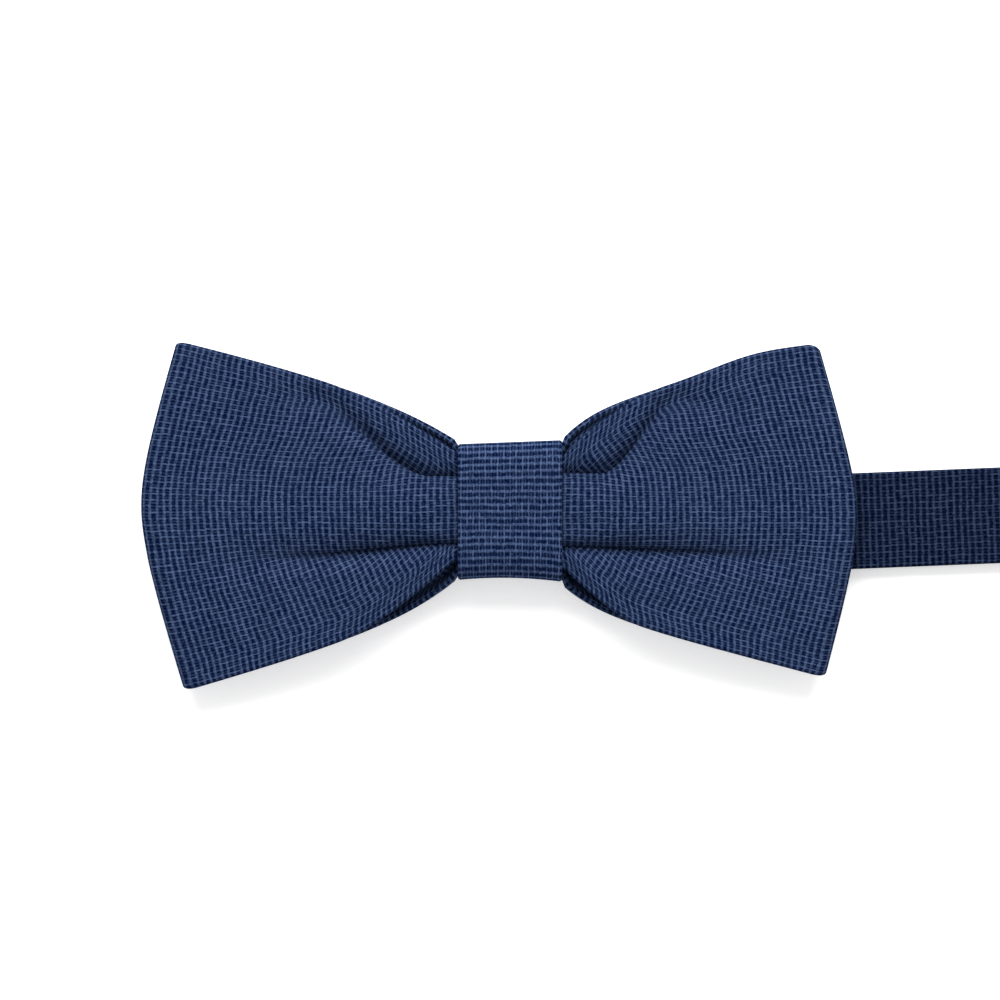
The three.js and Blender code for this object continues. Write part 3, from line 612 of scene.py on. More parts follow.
def thickened(middle, outer, inner):
    """Gives the sheet middle[column, row] its thickness, as rings that run round it, one for each column.

    A side's points lie at the sheet's point plus the normal times the thickness on that side, and an edge's
    points on a half turn from the outer normal over the sheet's edge direction to the inner normal.
    """
    along = np.gradient(middle, axis=0)
    across = np.gradient(middle, axis=1)
    normal = unit(np.cross(along, across))
    outwards = unit(across)
    rows = middle.shape[1]
    outer = np.broadcast_to(outer, rows)
    inner = np.broadcast_to(inner, rows)
    turn = np.pi * (np.arange(2 * EDGE_STEPS) + 0.5) / (2 * EDGE_STEPS)

    def edge(row, sign):
        toward_normal = np.cos(turn)[:, None] * normal[:, row, None]
        toward_edge = sign * np.sin(turn)[:, None] * outwards[:, row, None]
        return middle[:, row, None] + outer[row] * (toward_normal + toward_edge)

    top = edge(-1, 1)
    bottom = edge(0, -1)
    return np.concatenate([
        bottom[:, :EDGE_STEPS][:, ::-1],
        middle + outer[:, None] * normal,
        top,
        (middle - inner[:, None] * normal)[:, ::-1],
        bottom[:, EDGE_STEPS:][:, ::-1],
    ], axis=1)


def ring_lengths(rings):
    """Distance round the longest ring from its first point, with the whole way round as one more value."""
    closed = np.concatenate([rings, rings[:, :1]], axis=1)
    steps = np.linalg.norm(np.diff(closed, axis=1), axis=-1).max(axis=0)
    return np.concatenate([[0.0], np.cumsum(steps)])


def tube_object(name, rings, along, around, material):
    """Makes a closed tube from rings[station, point], in millimetres, with a flat end at each side.

    along[station, point] and around[point] are the pattern coordinates, kept as the UV map "weave". around
    has one value more than a ring, for the way round to its first point. An end joins each point to the one
    across the ring.
    """
    stations, ring = rings.shape[:2]
    i, j = np.meshgrid(np.arange(stations - 1), np.arange(ring), indexing="ij")
    following = (j + 1) % ring
    corners = [(i, j, j), (i, following, j + 1), (i + 1, following, j + 1), (i + 1, j, j)]
    half = np.arange(ring // 2 - 1)
    across = [half, half + 1, ring - 2 - half, ring - 1 - half]
    near_end = [(np.zeros_like(half), points, points) for points in across[::-1]]
    far_end = [(np.full_like(half, stations - 1), points, points) for points in across]

    quads = []
    pattern = []
    for face in (corners, near_end, far_end):
        quads.append(np.stack([(station * ring + point).ravel() for station, point, _ in face], axis=-1))
        pattern.append(np.stack([
            np.stack([along[station, point], around[place]], axis=-1).reshape(-1, 2)
            for station, point, place in face], axis=1))
    quads = np.concatenate(quads)
    pattern = np.concatenate(pattern)
    points = rings.reshape(-1, 3)

    a, b, c, d = (points[quads[:, k]] for k in range(4))
    volume = sum(np.einsum("ij,ij->i", a, np.cross(*pair)).sum() for pair in ((b, c), (c, d)))
    if volume < 0:
        quads = quads[:, ::-1]
        pattern = pattern[:, ::-1]

    mesh = bpy.data.meshes.new(name)
    mesh.from_pydata((points * MM).tolist(), [], quads.tolist())
    layer = mesh.uv_layers.new(name="weave")
    layer.data.foreach_set("uv", pattern.reshape(-1).astype(np.float32))
    mesh.shade_smooth()
    mesh.materials.append(material)
    piece = bpy.data.objects.new(name, mesh)
    bpy.context.scene.collection.objects.link(piece)
    return piece


# ---- the bow ----

def edge_height(edge, x):
    """Half height of the wing's outline at x: a short flare, a longer rise, a steady slope, a low bulge."""
    d = np.maximum(x - KNOT_HALF_LENGTH, 0)
    pinched = np.clip(x / KNOT_HALF_LENGTH, 0, 1) ** 2
    in_knot = PINCHED_HALF_HEIGHT + (BOW_START_HALF_HEIGHT - PINCHED_HALF_HEIGHT) * pinched
    flare = (edge["start"] - BOW_START_HALF_HEIGHT) * (1 - np.exp(-d / FLARE_REACH))
    rise = edge["rise"] * (1 - np.exp(-d / edge["reach"]))
    swell = edge["swell"] * np.exp(-((d - SWELL_AT) / SWELL_WIDTH) ** 2)
    return in_knot + flare + rise + edge["slope"] * d + swell


def tip_x(tip, y):
    """The tip is a blunt point: two raked lines joined by a soft bend."""
    rake = np.where(y > tip["y"], tip["top_rake"], tip["bottom_rake"])
    return tip["x"] - rake * (np.hypot(y - tip["y"], TIP_ROUNDING) - TIP_ROUNDING)


def wing_x(wing, q, v, thickness):
    """Distance from the middle at a share q of the way to the tip: q times a length that nears the tip's."""
    tip = wing["tip"]
    reach = np.full(np.broadcast(q, v).shape, NOMINAL_HALF_SPAN)
    for _ in range(3):
        height = np.where(v >= 0, edge_height(wing["top"], reach), edge_height(wing["bottom"], reach))
        reach = tip_x(tip, v * height)
    reach = reach - TIP_FOLD_RADIUS - thickness / 2
    return q * (NOMINAL_HALF_SPAN + (reach - NOMINAL_HALF_SPAN) * q * q)


def pleated(edge, x, m, half_height, bow):
    """Height and depth of the cloth that lies m from the middle line, towards one edge.

    The middle panel keeps a share of its flat width: panel_share at the knot, fading to half_height / width.
    The pleat hides the rest, take = width - half_height / share: over about that width the cloth turns back
    under itself, so height is share times m less take times a smooth step, and depth drops with the same
    step. It then climbs again to a little below the pleat. Both fade away from the knot. A shallow dip runs
    along the pleat's raised side, and a soft hollow goes on beyond it.
    """
    width = bow.cloth_half_width / MM
    depth = bow.pleat_depth / MM
    d = np.maximum(x - KNOT_HALF_LENGTH, 0)
    fading = np.exp(-(d / edge["fade"]) ** 2)
    flat_share = half_height / width
    share = flat_share + (bow.panel_share - flat_share) * np.sqrt(fading)
    take = width - half_height / share
    crease = edge["at"] + edge["climb"] * smoothstep(edge["climb_from"], edge["climb_to"], x)
    spread = take + PLEAT_WIDENING + PLEAT_WIDENING_FAR * (1 - fading)
    middle = crease / share + PLEAT_MIDDLE_SHARE * take
    fold = smoothstep(-0.5, 0.5, (m - middle) / spread)
    height = share * (m - take * fold)

    drop = depth * fading
    rest = PLEAT_REST_DEPTH * fading
    dip = DIP_DEPTH * fading * np.exp(-((m - middle + DIP_SHARE * spread) / DIP_WIDTH) ** 2)
    climb_to = middle + CLIMB_TO_SHARE * spread + CLIMB_WIDTH
    after = smoothstep(middle + CLIMB_FROM_SHARE * spread, climb_to, m)
    hollow = HOLLOW_DEPTH * (1 - np.exp(-d / HOLLOW_ONSET)) * np.exp(-(d / edge["hollow"]) ** 3)
    hollow = hollow * np.exp(-((height - crease - HOLLOW_OFFSET) / HOLLOW_WIDTH) ** 2)
    return height, drop * fold - (drop - rest) * after + dip + hollow


def edge_curl(curl, v, d, q):
    """How far the layer turns towards the other one at its edges, less with the distance from the knot."""
    return curl["depth"] * v ** curl["power"] * np.exp(-d / curl["reach"]) * (1 - q)


def waviness(x, y):
    """Unevenness of pressed cloth: the product of two slow waves that cross at a slant."""
    return np.sin(x / 5.3 + y / 3.1) * np.sin(y / 4.7 - x / 9.1 + 1.0)


def wing_front(wing, q, v, bow):
    """Middle of the front layer: the outline's x, the pleated heights, a crowned z less the pleats' depth."""
    thickness = bow.layer_thickness / MM
    width = bow.cloth_half_width / MM
    x = wing_x(wing, q, v, thickness)
    d = np.maximum(x - KNOT_HALF_LENGTH, 0)
    sides = []
    for name in ("top", "bottom"):
        edge = wing[name]
        inside = edge["gap"] * (1 - smoothstep(0, edge["gap_reach"], d))
        inside = inside * smoothstep(*GAP_ONSET, x - KNOT_HALF_LENGTH)
        half_height = edge_height(edge, x) - thickness / 2 - inside
        sides.append(pleated(edge, x, np.abs(v) * width, half_height, bow))
    y = np.where(v >= 0, sides[0][0], -sides[1][0])
    depth = np.where(v >= 0, sides[0][1], sides[1][1])
    crown = CROWN_HEIGHT * np.sin(np.pi * q)
    across = np.cos(np.clip(y / PUFF_HALF_WIDTH, -1, 1) * np.pi / 2)
    puff = PUFF_HEIGHT * (1 - np.exp(-d / PUFF_ONSET)) * np.exp(-d / PUFF_REACH) * across
    curl = edge_curl(FRONT_CURL, v, d, q)
    tip_z = TIP_CENTRE_Z + TIP_FOLD_RADIUS
    off_tip = 1 - q * q
    z = FRONT_LAYER_Z + (tip_z - FRONT_LAYER_Z) * q * q + crown + puff - curl - depth * off_tip
    ripple = RIPPLE_HEIGHT * waviness(x, y) * smoothstep(0, RIPPLE_ONSET, d) * off_tip
    return np.stack([wing["side"] * x, y, z + ripple], axis=-1)


def wing_rear(wing, q, v, bow):
    """Middle of the rear layer: the outline's x and heights, and shallow gathers that fade from the knot."""
    thickness = bow.layer_thickness / MM
    x = wing_x(wing, q, v, thickness)
    d = np.maximum(x - KNOT_HALF_LENGTH, 0)
    heights = []
    for name in ("top", "bottom"):
        edge = wing[name]
        heights.append(edge_height(edge, x) - thickness / 2 - edge["tuck"] * smoothstep(*TUCK_BETWEEN, d))
    y = np.where(v >= 0, v * heights[0], v * heights[1])
    tip_z = TIP_CENTRE_Z - TIP_FOLD_RADIUS
    gathers = GATHER_HEIGHT * np.sin(GATHER_WAVES * np.pi * v + GATHER_PHASE) * np.exp(-d / GATHER_REACH)
    curl = edge_curl(REAR_CURL, v, d, q)
    z = REAR_LAYER_Z + (tip_z - REAR_LAYER_Z) * q * q + gathers + curl
    return np.stack([wing["side"] * x, y, z], axis=-1)


def tip_fold(wing, angles, v, bow):
    """The turn at a wing's tip: a half circle in X and Z, and each row's Y runs on at the row's slope."""
    ends = np.array([[0.98], [1.0]])
    front = wing_front(wing, ends, v, bow)
    rear = wing_rear(wing, ends, v, bow)
    slope = (front[1, :, 1] - front[0, :, 1]) / np.abs(front[1, :, 0] - front[0, :, 0])
    angle = angles[:, None]
    share = smoothstep(0, np.pi, angle)
    reach = TIP_FOLD_RADIUS * np.sin(angle)
    x = front[1, :, 0] + wing["side"] * reach
    y = front[1, :, 1] * (1 - share) + rear[1, :, 1] * share + slope * reach
    z = TIP_CENTRE_Z + TIP_FOLD_RADIUS * np.cos(angle) + 0 * x
    return np.stack([x, y, z], axis=-1)


def bow_sheet(bow, rows, front_steps, rear_steps, margin=0.0):
    """The whole loop's middle surface and its pattern coordinate along the loop.

    Columns run from the back's middle to the left tip, over the front and round the right tip to the back's
    middle. The coordinate is the length along each row, scaled so that every row has the tip at one value.
    Columns crowd together at the knot, and a small slit is left where the loop's ends meet at the back.
    """
    crowding = 1.25
    slit = 0.012
    v = np.linspace(-1 + margin, 1 - margin, rows)[None, :]
    front_q = np.linspace(0, 1, front_steps)[:, None] ** crowding
    rear_q = np.linspace(slit, 1, rear_steps)[:, None]
    angles = np.linspace(0, np.pi, 13)[1:-1]
    left = WINGS["left"]
    right = WINGS["right"]
    columns = [
        wing_rear(left, rear_q, v, bow),
        tip_fold(left, angles[::-1], v, bow),
        wing_front(left, front_q[::-1][:-1], v, bow),
        wing_front(right, front_q, v, bow),
        tip_fold(right, angles, v, bow),
        wing_rear(right, rear_q[::-1], v, bow),
    ]
    centre = rear_steps + len(angles) + front_steps - 1
    sheet = np.concatenate(columns)
    sheet[centre] = (sheet[centre - 1] + sheet[centre + 1]) / 2
    sheet[centre, :, 0] = 0

    steps = np.linalg.norm(np.diff(sheet, axis=0), axis=-1)
    length = np.concatenate([np.zeros((1, rows)), np.cumsum(steps, axis=0)])
    length = length - length[centre]
    tips = (rear_steps + len(angles) // 2, len(sheet) - 1 - rear_steps - len(angles) // 2)
    scale = [np.median(np.abs(length[tip])) / np.abs(length[tip]) for tip in tips]
    return sheet, np.where(length < 0, length * scale[0], length * scale[1])


def sheet_object(name, sheet, length, thickness, material, inner=None):
    """A thickened sheet: the first pattern coordinate is length, and the second the way round the ring."""
    half = thickness / 2
    rings = thickened(sheet, half, half if inner is None else inner)
    around = ring_lengths(rings)
    rows = ring_rows(sheet.shape[1])
    return tube_object(name, rings, length[:, rows], around, material)


def make_bow(settings):
    """The bow: one flattened tube of cloth, folded into a loop, with a canvas inside it."""
    bow = settings.bow
    thickness = bow.layer_thickness / MM
    rows = 113
    sheet, length = bow_sheet(bow, rows, front_steps=95, rear_steps=52)
    material = woven_cloth("bow cloth", settings.cloth, BOW_SHADE)
    rings = thickened(sheet, thickness / 2, thickness / 2)
    flat = np.linspace(-1, 1, rows) * bow.cloth_half_width / MM
    edge = thickness / 2 * np.pi / (2 * EDGE_STEPS)
    lower = flat[0] - edge * np.arange(EDGE_STEPS, 0, -1)
    top = flat[-1] + edge * np.arange(1, 2 * EDGE_STEPS + 1)
    back = top[-1] + edge + (flat - flat[0])
    closing = back[-1] + edge * np.arange(1, EDGE_STEPS + 2)
    around = np.concatenate([lower, flat, top, back, closing])
    cloth = tube_object("bow_cloth", rings, length[:, ring_rows(rows)], around, material)
    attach(cloth, "bow")
    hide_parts("bow_face", "bow_lining")

    margin = 0.04
    canvas_sheet, canvas_length = bow_sheet(bow, 41, front_steps=40, rear_steps=24, margin=margin)
    canvas = sheet_object("bow_canvas", canvas_sheet, canvas_length, CANVAS_THICKNESS, undyed_canvas())
    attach(canvas, "bow")
    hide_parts("bow_interlining")

    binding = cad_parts["gathering_thread"]
    binding.data.materials.clear()
    binding.data.materials.append(bound_thread())


# ---- the knot ----

def knot_sheet(knot, inset, half_length, steps, rows):
    """Middle surface of the wrap, inset from its outside: a squarish oval section, carried along X.

    The section's top and bottom follow the knot's outline, which leans a little and is hollow at the bottom.
    Columns run round from one side of the seam at the back to the other.
    """
    angle = np.linspace(KNOT_SEAM_ANGLE, 2 * np.pi - KNOT_SEAM_ANGLE, steps)[:, None]
    x = np.linspace(-half_length, half_length, rows)[None, :]
    t = x / KNOT_HALF_LENGTH
    sine = np.sin(angle)
    cosine = -np.cos(angle)
    power = knot.squareness
    radius = (np.abs(sine) ** power + np.abs(cosine) ** power) ** (-1 / power)
    top = KNOT_TOP_Y + KNOT_TOP_LEAN * t
    bottom = KNOT_BOTTOM_Y + KNOT_BOTTOM_HOLLOW * t * t + KNOT_BOTTOM_LEAN * t
    half_y = np.where(sine >= 0, top, bottom) - inset
    half_z = (KNOT_FRONT_Z - KNOT_BACK_Z) / 2 - inset
    rounding = KNOT_END_ROUNDING * np.abs(t) ** 6
    y = half_y * sine * radius
    z = (KNOT_FRONT_Z + KNOT_BACK_Z) / 2 + (half_z - rounding) * cosine * radius
    return np.stack([x + 0 * angle, y, z], axis=-1)


def make_knot(settings):
    """The knot: a folded strip of the bow's cloth, its canvas, and the stitches that close it at the back."""
    knot = settings.knot
    thickness = knot.thickness / MM
    rows = 41
    half_length = KNOT_HALF_LENGTH - thickness / 2
    sheet = knot_sheet(knot, thickness / 2, half_length, 181, rows)
    length = path_lengths(sheet[:, rows // 2])[:, None] + np.zeros((1, rows))
    # The knot's copy of the cloth is made brighter than the bow's: painted light.
    material = woven_cloth("knot cloth with painted light", settings.cloth, KNOT_PAINTED_LIGHT)
    cloth = sheet_object("knot_cloth", sheet, length, thickness, material)
    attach(cloth, "bow")
    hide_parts("knot_wrap")

    inset = thickness + KNOT_CANVAS_CLEARANCE
    inner_sheet = knot_sheet(knot, inset, KNOT_HALF_LENGTH - KNOT_CANVAS_SHORTER, 61, 9)
    inner_length = np.zeros(inner_sheet.shape[:2])
    canvas = sheet_object("knot_canvas", inner_sheet, inner_length, CANVAS_THICKNESS, undyed_canvas())
    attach(canvas, "bow")
    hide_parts("knot_interlining")

    along, aside = zigzag(KNOT_STITCHES, 161)
    z = np.full_like(along, KNOT_BACK_Z - THREAD_RADIUS * 0.6)
    stitches = thread_object("knot_stitches", np.stack([along, aside, z], axis=-1))
    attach(stitches, "bow")
    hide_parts("knot_stitching")


# ---- threads ----

def zigzag(stitch, count):
    """Places along and beside a row of stitches, from end to end: a straight line and a sine wave."""
    t = np.linspace(0, 1, count)
    along = -stitch["length"] / 2 + stitch["length"] * t
    return along, stitch["half_width"] * np.sin(2 * np.pi * stitch["turns"] * t)


def thread_object(name, path):
    """A round thread along path: a circle in the plane of the path's side direction and +Z, at each point."""
    sides = 8
    tangent = unit(np.gradient(path, axis=0))
    side = unit(np.cross(tangent, [0.0, 0.0, 1.0]))
    lift = np.cross(side, tangent)
    angle = 2 * np.pi * (np.arange(sides) + 0.5) / sides
    rings = path[:, None] + THREAD_RADIUS * (
        np.cos(angle)[None, :, None] * side[:, None] + np.sin(angle)[None, :, None] * lift[:, None])
    length = path_lengths(path)
    around = np.linspace(0, 2 * np.pi * THREAD_RADIUS, sides + 1)
    return tube_object(name, rings, length[:, None] + np.zeros((1, sides)), around, sewing_thread())


# ---- the strap ----

def line(x0, z0, x1, z1, step=1.5):
    """Points in X and Z along a straight stretch."""
    count = max(int(abs(x1 - x0) / step), 1) + 1
    return np.stack([np.linspace(x0, x1, count), np.linspace(z0, z1, count)], axis=-1)


def ramp(x0, z0, x1, z1, step=1.0):
    """A soft step from one height to another."""
    count = max(int(abs(x1 - x0) / step), 6) + 1
    t = np.linspace(0, 1, count)
    return np.stack([x0 + (x1 - x0) * t, z0 + (z1 - z0) * smoothstep(0, 1, t)], axis=-1)


def arc(x, z, radius, start, end, count=15):
    """Points round a part of a circle."""
    angle = np.linspace(start, end, count)
    return np.stack([x + radius * np.cos(angle), z + radius * np.sin(angle)], axis=-1)


def hump(x0, x1, low, high, top):
    """A rounded rise from low to high, highest at top, as the square of a cosine; cut to x0 and x1."""
    step = 0.35
    x = np.linspace(x0, x1, max(int(abs(x1 - x0) / step), 4) + 1)
    t = np.clip((x - top) / HUMP_REACH, -1, 1)
    return np.stack([x, low + (high - low) * np.cos(t * np.pi / 2) ** 2], axis=-1)


def joined(pieces):
    """The pieces of a path, end to end, without the doubled points."""
    path = np.concatenate(pieces)
    apart = np.linalg.norm(np.diff(path, axis=0), axis=-1) > 1e-6
    return path[np.concatenate([[True], apart])]


def in_place(points):
    """Turns points from the strap's own frame into the bow tie's: a small turn about Z and a shift in Y."""
    x, y, z = np.moveaxis(points, -1, 0)
    cosine = np.cos(STRAP_TILT)
    sine = np.sin(STRAP_TILT)
    return np.stack([x * cosine - y * sine, STRAP_OFFSET_Y + x * sine + y * cosine, z], axis=-1)


def place(x, z=0.0):
    """A point on the strap's middle line, in metres."""
    return tuple(float(value) for value in in_place(np.array([x, 0.0, z])) * MM)


def strap_sheet(path, width, rows):
    """Middle surface of a strap: the path in X and Z, carried across it, one edge drawn in at the knot."""
    y = np.linspace(-width / 2, width / 2, rows)
    drawn_in = KNOT_DRAW_IN * np.exp(-((path[:, :1] / KNOT_DRAW_REACH) ** 4))
    sheet = np.empty((len(path), rows, 3))
    sheet[..., 0] = path[:, :1]
    sheet[..., 1] = y + drawn_in * (0.5 - y / width)
    sheet[..., 2] = path[:, 1:]
    return in_place(sheet)


def path_lengths(path):
    """Distance along the path from its first point to each point."""
    return np.concatenate([[0.0], np.cumsum(np.linalg.norm(np.diff(path, axis=0), axis=-1))])


def strap_cloth_object(name, path, start, material):
    """A folded strap: rounded edges, and on the inner side the fine groove where its two edges meet."""
    rows = 41
    width = STRAP_WIDTH - STRAP_THICKNESS
    sheet = strap_sheet(path, width, rows)
    y = np.linspace(-width / 2, width / 2, rows)
    half = STRAP_THICKNESS / 2
    inner = half - STRAP_GROOVE_DEPTH * np.exp(-(y / STRAP_GROOVE_WIDTH) ** 2)
    length = (start + path_lengths(path))[:, None] + np.zeros((1, rows))
    return sheet_object(name, sheet, length, STRAP_THICKNESS, material, inner)


def strap_canvas_object(name, path, material):
    """A strip of canvas on the middle surface of a strap."""
    rows = 5
    sheet = strap_sheet(path, CANVAS_WIDTH, rows)
    return sheet_object(name, sheet, np.zeros((len(path), rows)), CANVAS_THICKNESS, material)


def neck_strap_path():
    """Round the eye, flat to the turn behind the left wing, and back over itself to behind the knot."""
    lower, second = RUN_Z[:2]
    right = np.pi / 2
    return joined([
        line(EYE_X - EYE_END_LENGTH, second, EYE_X - EYE_END_RAMP, second),
        ramp(EYE_X - EYE_END_RAMP, second, EYE_X, EYE_BAR_Z + TURN_RADIUS),
        arc(EYE_X, EYE_BAR_Z, TURN_RADIUS, right, -right),
        line(EYE_X, lower, FOLD_X, lower),
        arc(FOLD_X, (lower + second) / 2, (second - lower) / 2, -right, -3 * right),
        line(FOLD_X, second, NECK_STRAP_END_X, second),
    ])


def slider_strap_path():
    """From behind the knot, out past the wing and up to the slider's first bar."""
    second, third, fourth = RUN_Z[1:]
    clear_of_knot = KNOT_HALF_LENGTH + 3
    ramp_from = SLIDER_X - SLIDER_RAMP_FROM
    ramp_to = SLIDER_X - SLIDER_RAMP_TO
    path = joined([
        line(NECK_STRAP_END_X, second, clear_of_knot, second),
        ramp(clear_of_knot, second, WING_CLEAR_X, third),
        line(WING_CLEAR_X, third, ramp_from, third, 0.8),
        ramp(ramp_from, third, ramp_to, fourth, 0.5),
        hump(ramp_to, SLIDER_OUTER_BAR_X, fourth, HUMP_Z, SLIDER_X),
    ])
    path[:, 1] -= SAG_DEPTH * np.exp(-((path[:, 0] - SAG_X) / SAG_WIDTH) ** 2)
    return path


def hook_strap_path():
    """Over the slider's middle bar, out to the hook and round its bar, back, and round the middle bar."""
    second, third, fourth = RUN_Z[1:]
    right = np.pi / 2
    past_slider = SLIDER_X + HUMP_REACH
    ramp_from = SLIDER_X + HOOK_RUN_RAMP_FROM
    ramp_to = SLIDER_X + HOOK_RUN_RAMP_TO
    hook_ramp_from = HOOK_X - HOOK_RAMP_FROM
    hook_ramp_to = HOOK_X - HOOK_RAMP_TO
    over_hook_bar = HOOK_BAR_Z + TURN_RADIUS
    return joined([
        hump(SLIDER_OUTER_BAR_X, past_slider, fourth, HUMP_Z, SLIDER_X),
        line(past_slider, fourth, ramp_from, fourth),
        ramp(ramp_from, fourth, ramp_to, third),
        line(ramp_to, third, hook_ramp_from, third),
        ramp(hook_ramp_from, third, hook_ramp_to, over_hook_bar),
        line(hook_ramp_to, over_hook_bar, HOOK_X, over_hook_bar),
        arc(HOOK_X, HOOK_BAR_Z, TURN_RADIUS, right, -right),
        line(HOOK_X, second, SLIDER_X, second),
        arc(SLIDER_X, SLIDER_BAR_Z, SLIDER_TURN_RADIUS, -right, -3 * right),
        hump(SLIDER_X, past_slider, third, SLIDER_BAR_Z + SLIDER_TURN_RADIUS, SLIDER_X),
        line(past_slider, third, SLIDER_X + TAIL_LENGTH, third),
    ])


def bartack_object(name, x, z):
    """A close zigzag of thread across the strap at x, on the face at height z."""
    along, aside = zigzag(BARTACK, 321)
    path = np.stack([x + aside, along, np.full_like(along, z + 0.6 * THREAD_RADIUS)], axis=-1)
    piece = thread_object(name, in_place(path))
    return piece


def make_straps(settings):
    """The strap's cloth in three lengths, the canvas inside it, and the bartacks that close its ends."""
    # The strap's copy of the cloth is made about half as bright as the bow's: painted shade.
    material = woven_cloth("strap cloth with painted shade", settings.cloth, STRAP_PAINTED_SHADE)
    half = STRAP_THICKNESS / 2
    neck = neck_strap_path()
    slider = slider_strap_path()
    hook = hook_strap_path()

    neck_cloth = strap_cloth_object("neck_strap_cloth", neck, 0.0, material)
    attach(neck_cloth, "bow")
    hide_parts("strap_eye_end", "strap_lower_run", "strap_upper_run")
    neck_length = float(path_lengths(neck)[-1])

    slider_cloth = strap_cloth_object("slider_strap_cloth", slider, neck_length, material)
    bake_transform(slider_cloth)
    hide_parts("adjusting_strap")
    slider_length = float(path_lengths(slider)[-1])

    hook_cloth = strap_cloth_object("hook_strap_cloth", hook, neck_length + slider_length, material)
    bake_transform(hook_cloth)
    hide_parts("strap_turn", "tail_run", "tail_loop")

    canvas_material = undyed_canvas()
    inside = neck[np.argmax(neck[:, 1] < RUN_Z[0] + 1e-6):]
    neck_canvas = strap_canvas_object("neck_canvas", inside, canvas_material)
    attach(neck_canvas, "bow")
    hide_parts("neck_interlining")

    slider_canvas = strap_canvas_object("slider_canvas", slider, canvas_material)
    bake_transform(slider_canvas)
    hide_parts("adjusting_interlining")

    eye_tack = bartack_object("eye_bartack_stitches", EYE_TACK_X, RUN_Z[1] + half)
    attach(eye_tack, "bow")
    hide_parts("eye_bartack")
    tail_tack = bartack_object("tail_bartack_stitches", TAIL_TACK_X, RUN_Z[2] + half)
    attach(tail_tack, "slider")
    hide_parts("tail_bartack")


# ---- the metal fittings ----

def fitting_object(name, node, body, edge_radius, material):
    """A merged copy of a frame node with its flat faces joined up and its edges rounded."""
    flat_angle = 0.02
    sharp_angle = 0.6
    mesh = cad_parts[node].data.copy()
    mesh.name = name
    shape = bmesh.new()
    shape.from_mesh(mesh)
    bmesh.ops.remove_doubles(shape, verts=shape.verts, dist=0.001 * MM)
    bmesh.ops.dissolve_limit(shape, angle_limit=flat_angle, verts=shape.verts, edges=shape.edges)
    shape.to_mesh(mesh)
    shape.free()
    mesh.materials.clear()
    mesh.materials.append(material)
    piece = bpy.data.objects.new(name, mesh)
    bpy.context.scene.collection.objects.link(piece)
    bevel = piece.modifiers.new("edges", "BEVEL")
    bevel.width = edge_radius
    bevel.segments = 3
    bevel.limit_method = "ANGLE"
    bevel.angle_limit = sharp_angle
    mesh.shade_smooth()
    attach(piece, body)
    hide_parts(node)


def make_fittings(settings):
    """The slider, the clasp's hook and its eye, in nickel plate."""
    metal = settings.metal
    material = nickel_plate(metal)
    fitting_object("slider_metal", "slider", "slider", metal.edge_radius, material)
    fitting_object("hook_metal", "clasp_hook", "hook", metal.edge_radius, material)
    fitting_object("eye_metal", "clasp_eye", "eye", metal.edge_radius, material)


# ---- the stage ----

def soft_light(name, power, size, position, turn):
    """A square area light."""
    light = bpy.data.lights.new(name, "AREA")
    light.energy = power
    light.shape = "SQUARE"
    light.size = size
    lamp = bpy.data.objects.new(name, light)
    lamp.location = position
    lamp.rotation_euler = turn
    bpy.context.scene.collection.objects.link(lamp)


def make_stage(settings):
    """A pale floor, a soft light beyond the bow's top, a weaker one overhead, and a camera looking down."""
    stage = settings.stage
    scene = bpy.context.scene

    line_count = FLOOR_CELLS + 1
    grid = np.linspace(-FLOOR_HALF_SIZE, FLOOR_HALF_SIZE, line_count)
    x, y = np.meshgrid(grid, grid, indexing="ij")
    points = np.stack([x, y, np.full_like(x, -0.1 * MM)], axis=-1).reshape(-1, 3)
    i, j = np.meshgrid(np.arange(FLOOR_CELLS), np.arange(FLOOR_CELLS), indexing="ij")
    first = i * line_count + j
    second = first + line_count
    quads = np.stack([first, second, second + 1, first + 1], axis=-1).reshape(-1, 4)
    mesh = bpy.data.meshes.new("floor")
    mesh.from_pydata(points.tolist(), [], quads.tolist())
    mesh.materials.append(pale_floor(stage.floor))
    floor = bpy.data.objects.new("floor", mesh)
    scene.collection.objects.link(floor)

    soft_light("key light", stage.key_power, 0.9, (0.0, 0.75, 0.75), (np.radians(-45), 0, 0))
    soft_light("overhead light", stage.fill_power, 1.2, (0.0, -0.1, 1.6), (0, 0, 0))

    world = bpy.data.worlds.new("surround")
    world.use_nodes = True
    background = world.node_tree.nodes["Background"]
    background.inputs["Color"].default_value = (1, 1, 1, 1)
    background.inputs["Strength"].default_value = stage.sky
    scene.world = world
    scene.view_settings.view_transform = "Standard"

    aim_x, aim_y, aim_z = CAMERA_AIM
    lens = bpy.data.cameras.new("camera")
    lens.sensor_width = SENSOR_WIDTH
    lens.lens = SENSOR_WIDTH * CAMERA_DISTANCE / stage.view_width
    lens.clip_end = 20
    camera = bpy.data.objects.new("camera", lens)
    camera.location = (aim_x, aim_y, aim_z + CAMERA_DISTANCE)
    scene.collection.objects.link(camera)
    scene.camera = camera


# ---- operators and panel ----

class BOWTIE_OT_stage(bpy.types.Operator):
    """Adds the floor, the lights and the camera."""
    bl_idname = "bow_tie.stage"
    bl_label = "Stage"

    def execute(self, context):
        make_stage(context.scene.bow_tie)
        return {"FINISHED"}


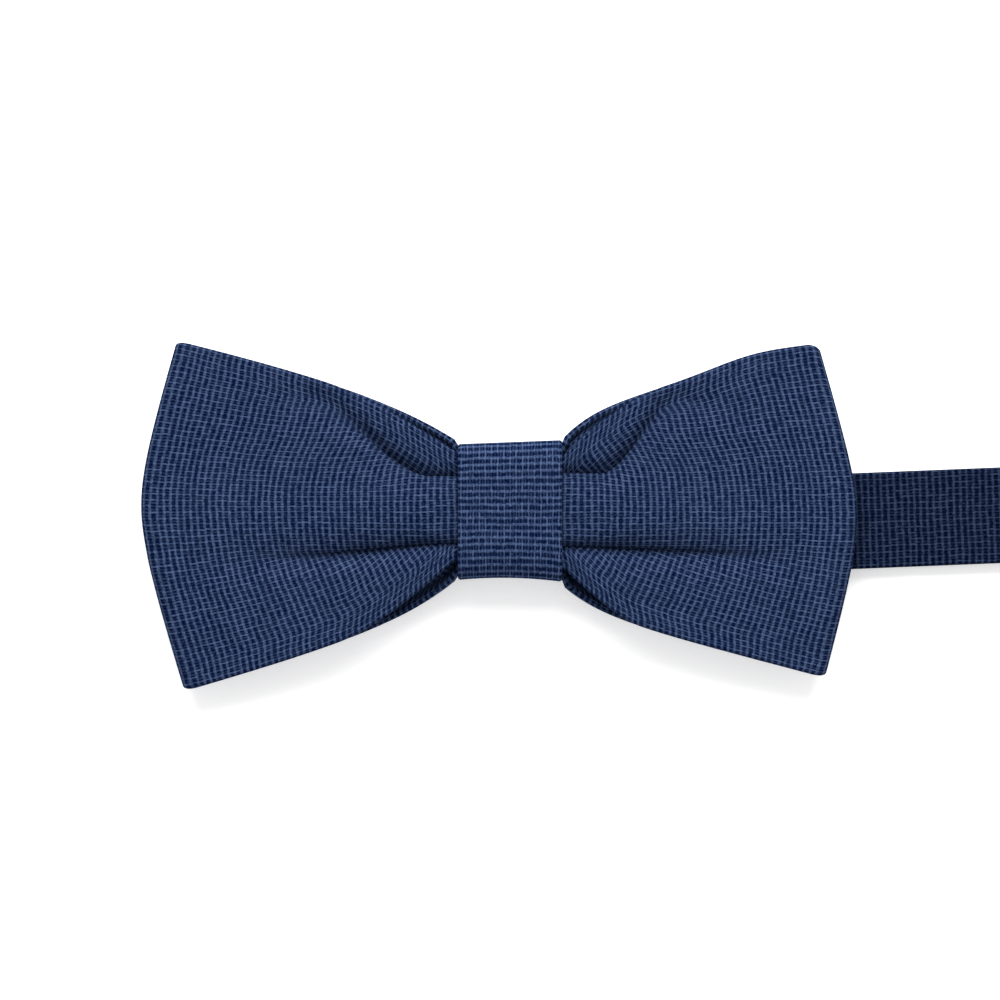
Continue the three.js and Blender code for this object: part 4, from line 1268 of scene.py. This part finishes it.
class BOWTIE_OT_bow(bpy.types.Operator):
    """Makes the pleated bow and its canvas."""
    bl_idname = "bow_tie.bow"
    bl_label = "Bow"

    def execute(self, context):
        make_bow(context.scene.bow_tie)
        return {"FINISHED"}


class BOWTIE_OT_knot(bpy.types.Operator):
    """Makes the knot, its canvas and its stitches."""
    bl_idname = "bow_tie.knot"
    bl_label = "Knot"

    def execute(self, context):
        make_knot(context.scene.bow_tie)
        return {"FINISHED"}


class BOWTIE_OT_straps(bpy.types.Operator):
    """Makes the neck strap's lengths, their canvas and their bartacks."""
    bl_idname = "bow_tie.straps"
    bl_label = "Neck Strap"

    def execute(self, context):
        make_straps(context.scene.bow_tie)
        return {"FINISHED"}


class BOWTIE_OT_fittings(bpy.types.Operator):
    """Makes the slider, the hook and the eye."""
    bl_idname = "bow_tie.fittings"
    bl_label = "Metal Fittings"

    def execute(self, context):
        make_fittings(context.scene.bow_tie)
        return {"FINISHED"}


OPERATORS = (BOWTIE_OT_stage, BOWTIE_OT_bow, BOWTIE_OT_knot, BOWTIE_OT_straps, BOWTIE_OT_fittings)


class BOWTIE_PT_panel(bpy.types.Panel):
    """Lists the operators in the sidebar."""
    bl_label = "Bow Tie"
    bl_idname = "BOWTIE_PT_panel"
    bl_space_type = "VIEW_3D"
    bl_region_type = "UI"
    bl_category = "Bow Tie"

    def draw(self, context):
        for operator in OPERATORS:
            self.layout.operator(operator.bl_idname)


CLASSES = (
    BowSettings, KnotSettings, ClothSettings, MetalSettings, StageSettings, BowTieSettings,
    *OPERATORS, BOWTIE_PT_panel)


def register():
    for item in CLASSES:
        bpy.utils.register_class(item)
    bpy.types.Scene.bow_tie = PointerProperty(type=BowTieSettings)


def unregister():
    del bpy.types.Scene.bow_tie
    for item in reversed(CLASSES):
        bpy.utils.unregister_class(item)


def main():
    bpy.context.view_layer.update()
    register()
    bpy.ops.bow_tie.stage()
    bpy.ops.bow_tie.bow()
    bpy.ops.bow_tie.knot()
    bpy.ops.bow_tie.straps()
    bpy.ops.bow_tie.fittings()


if __name__ == "__main__":
    main()
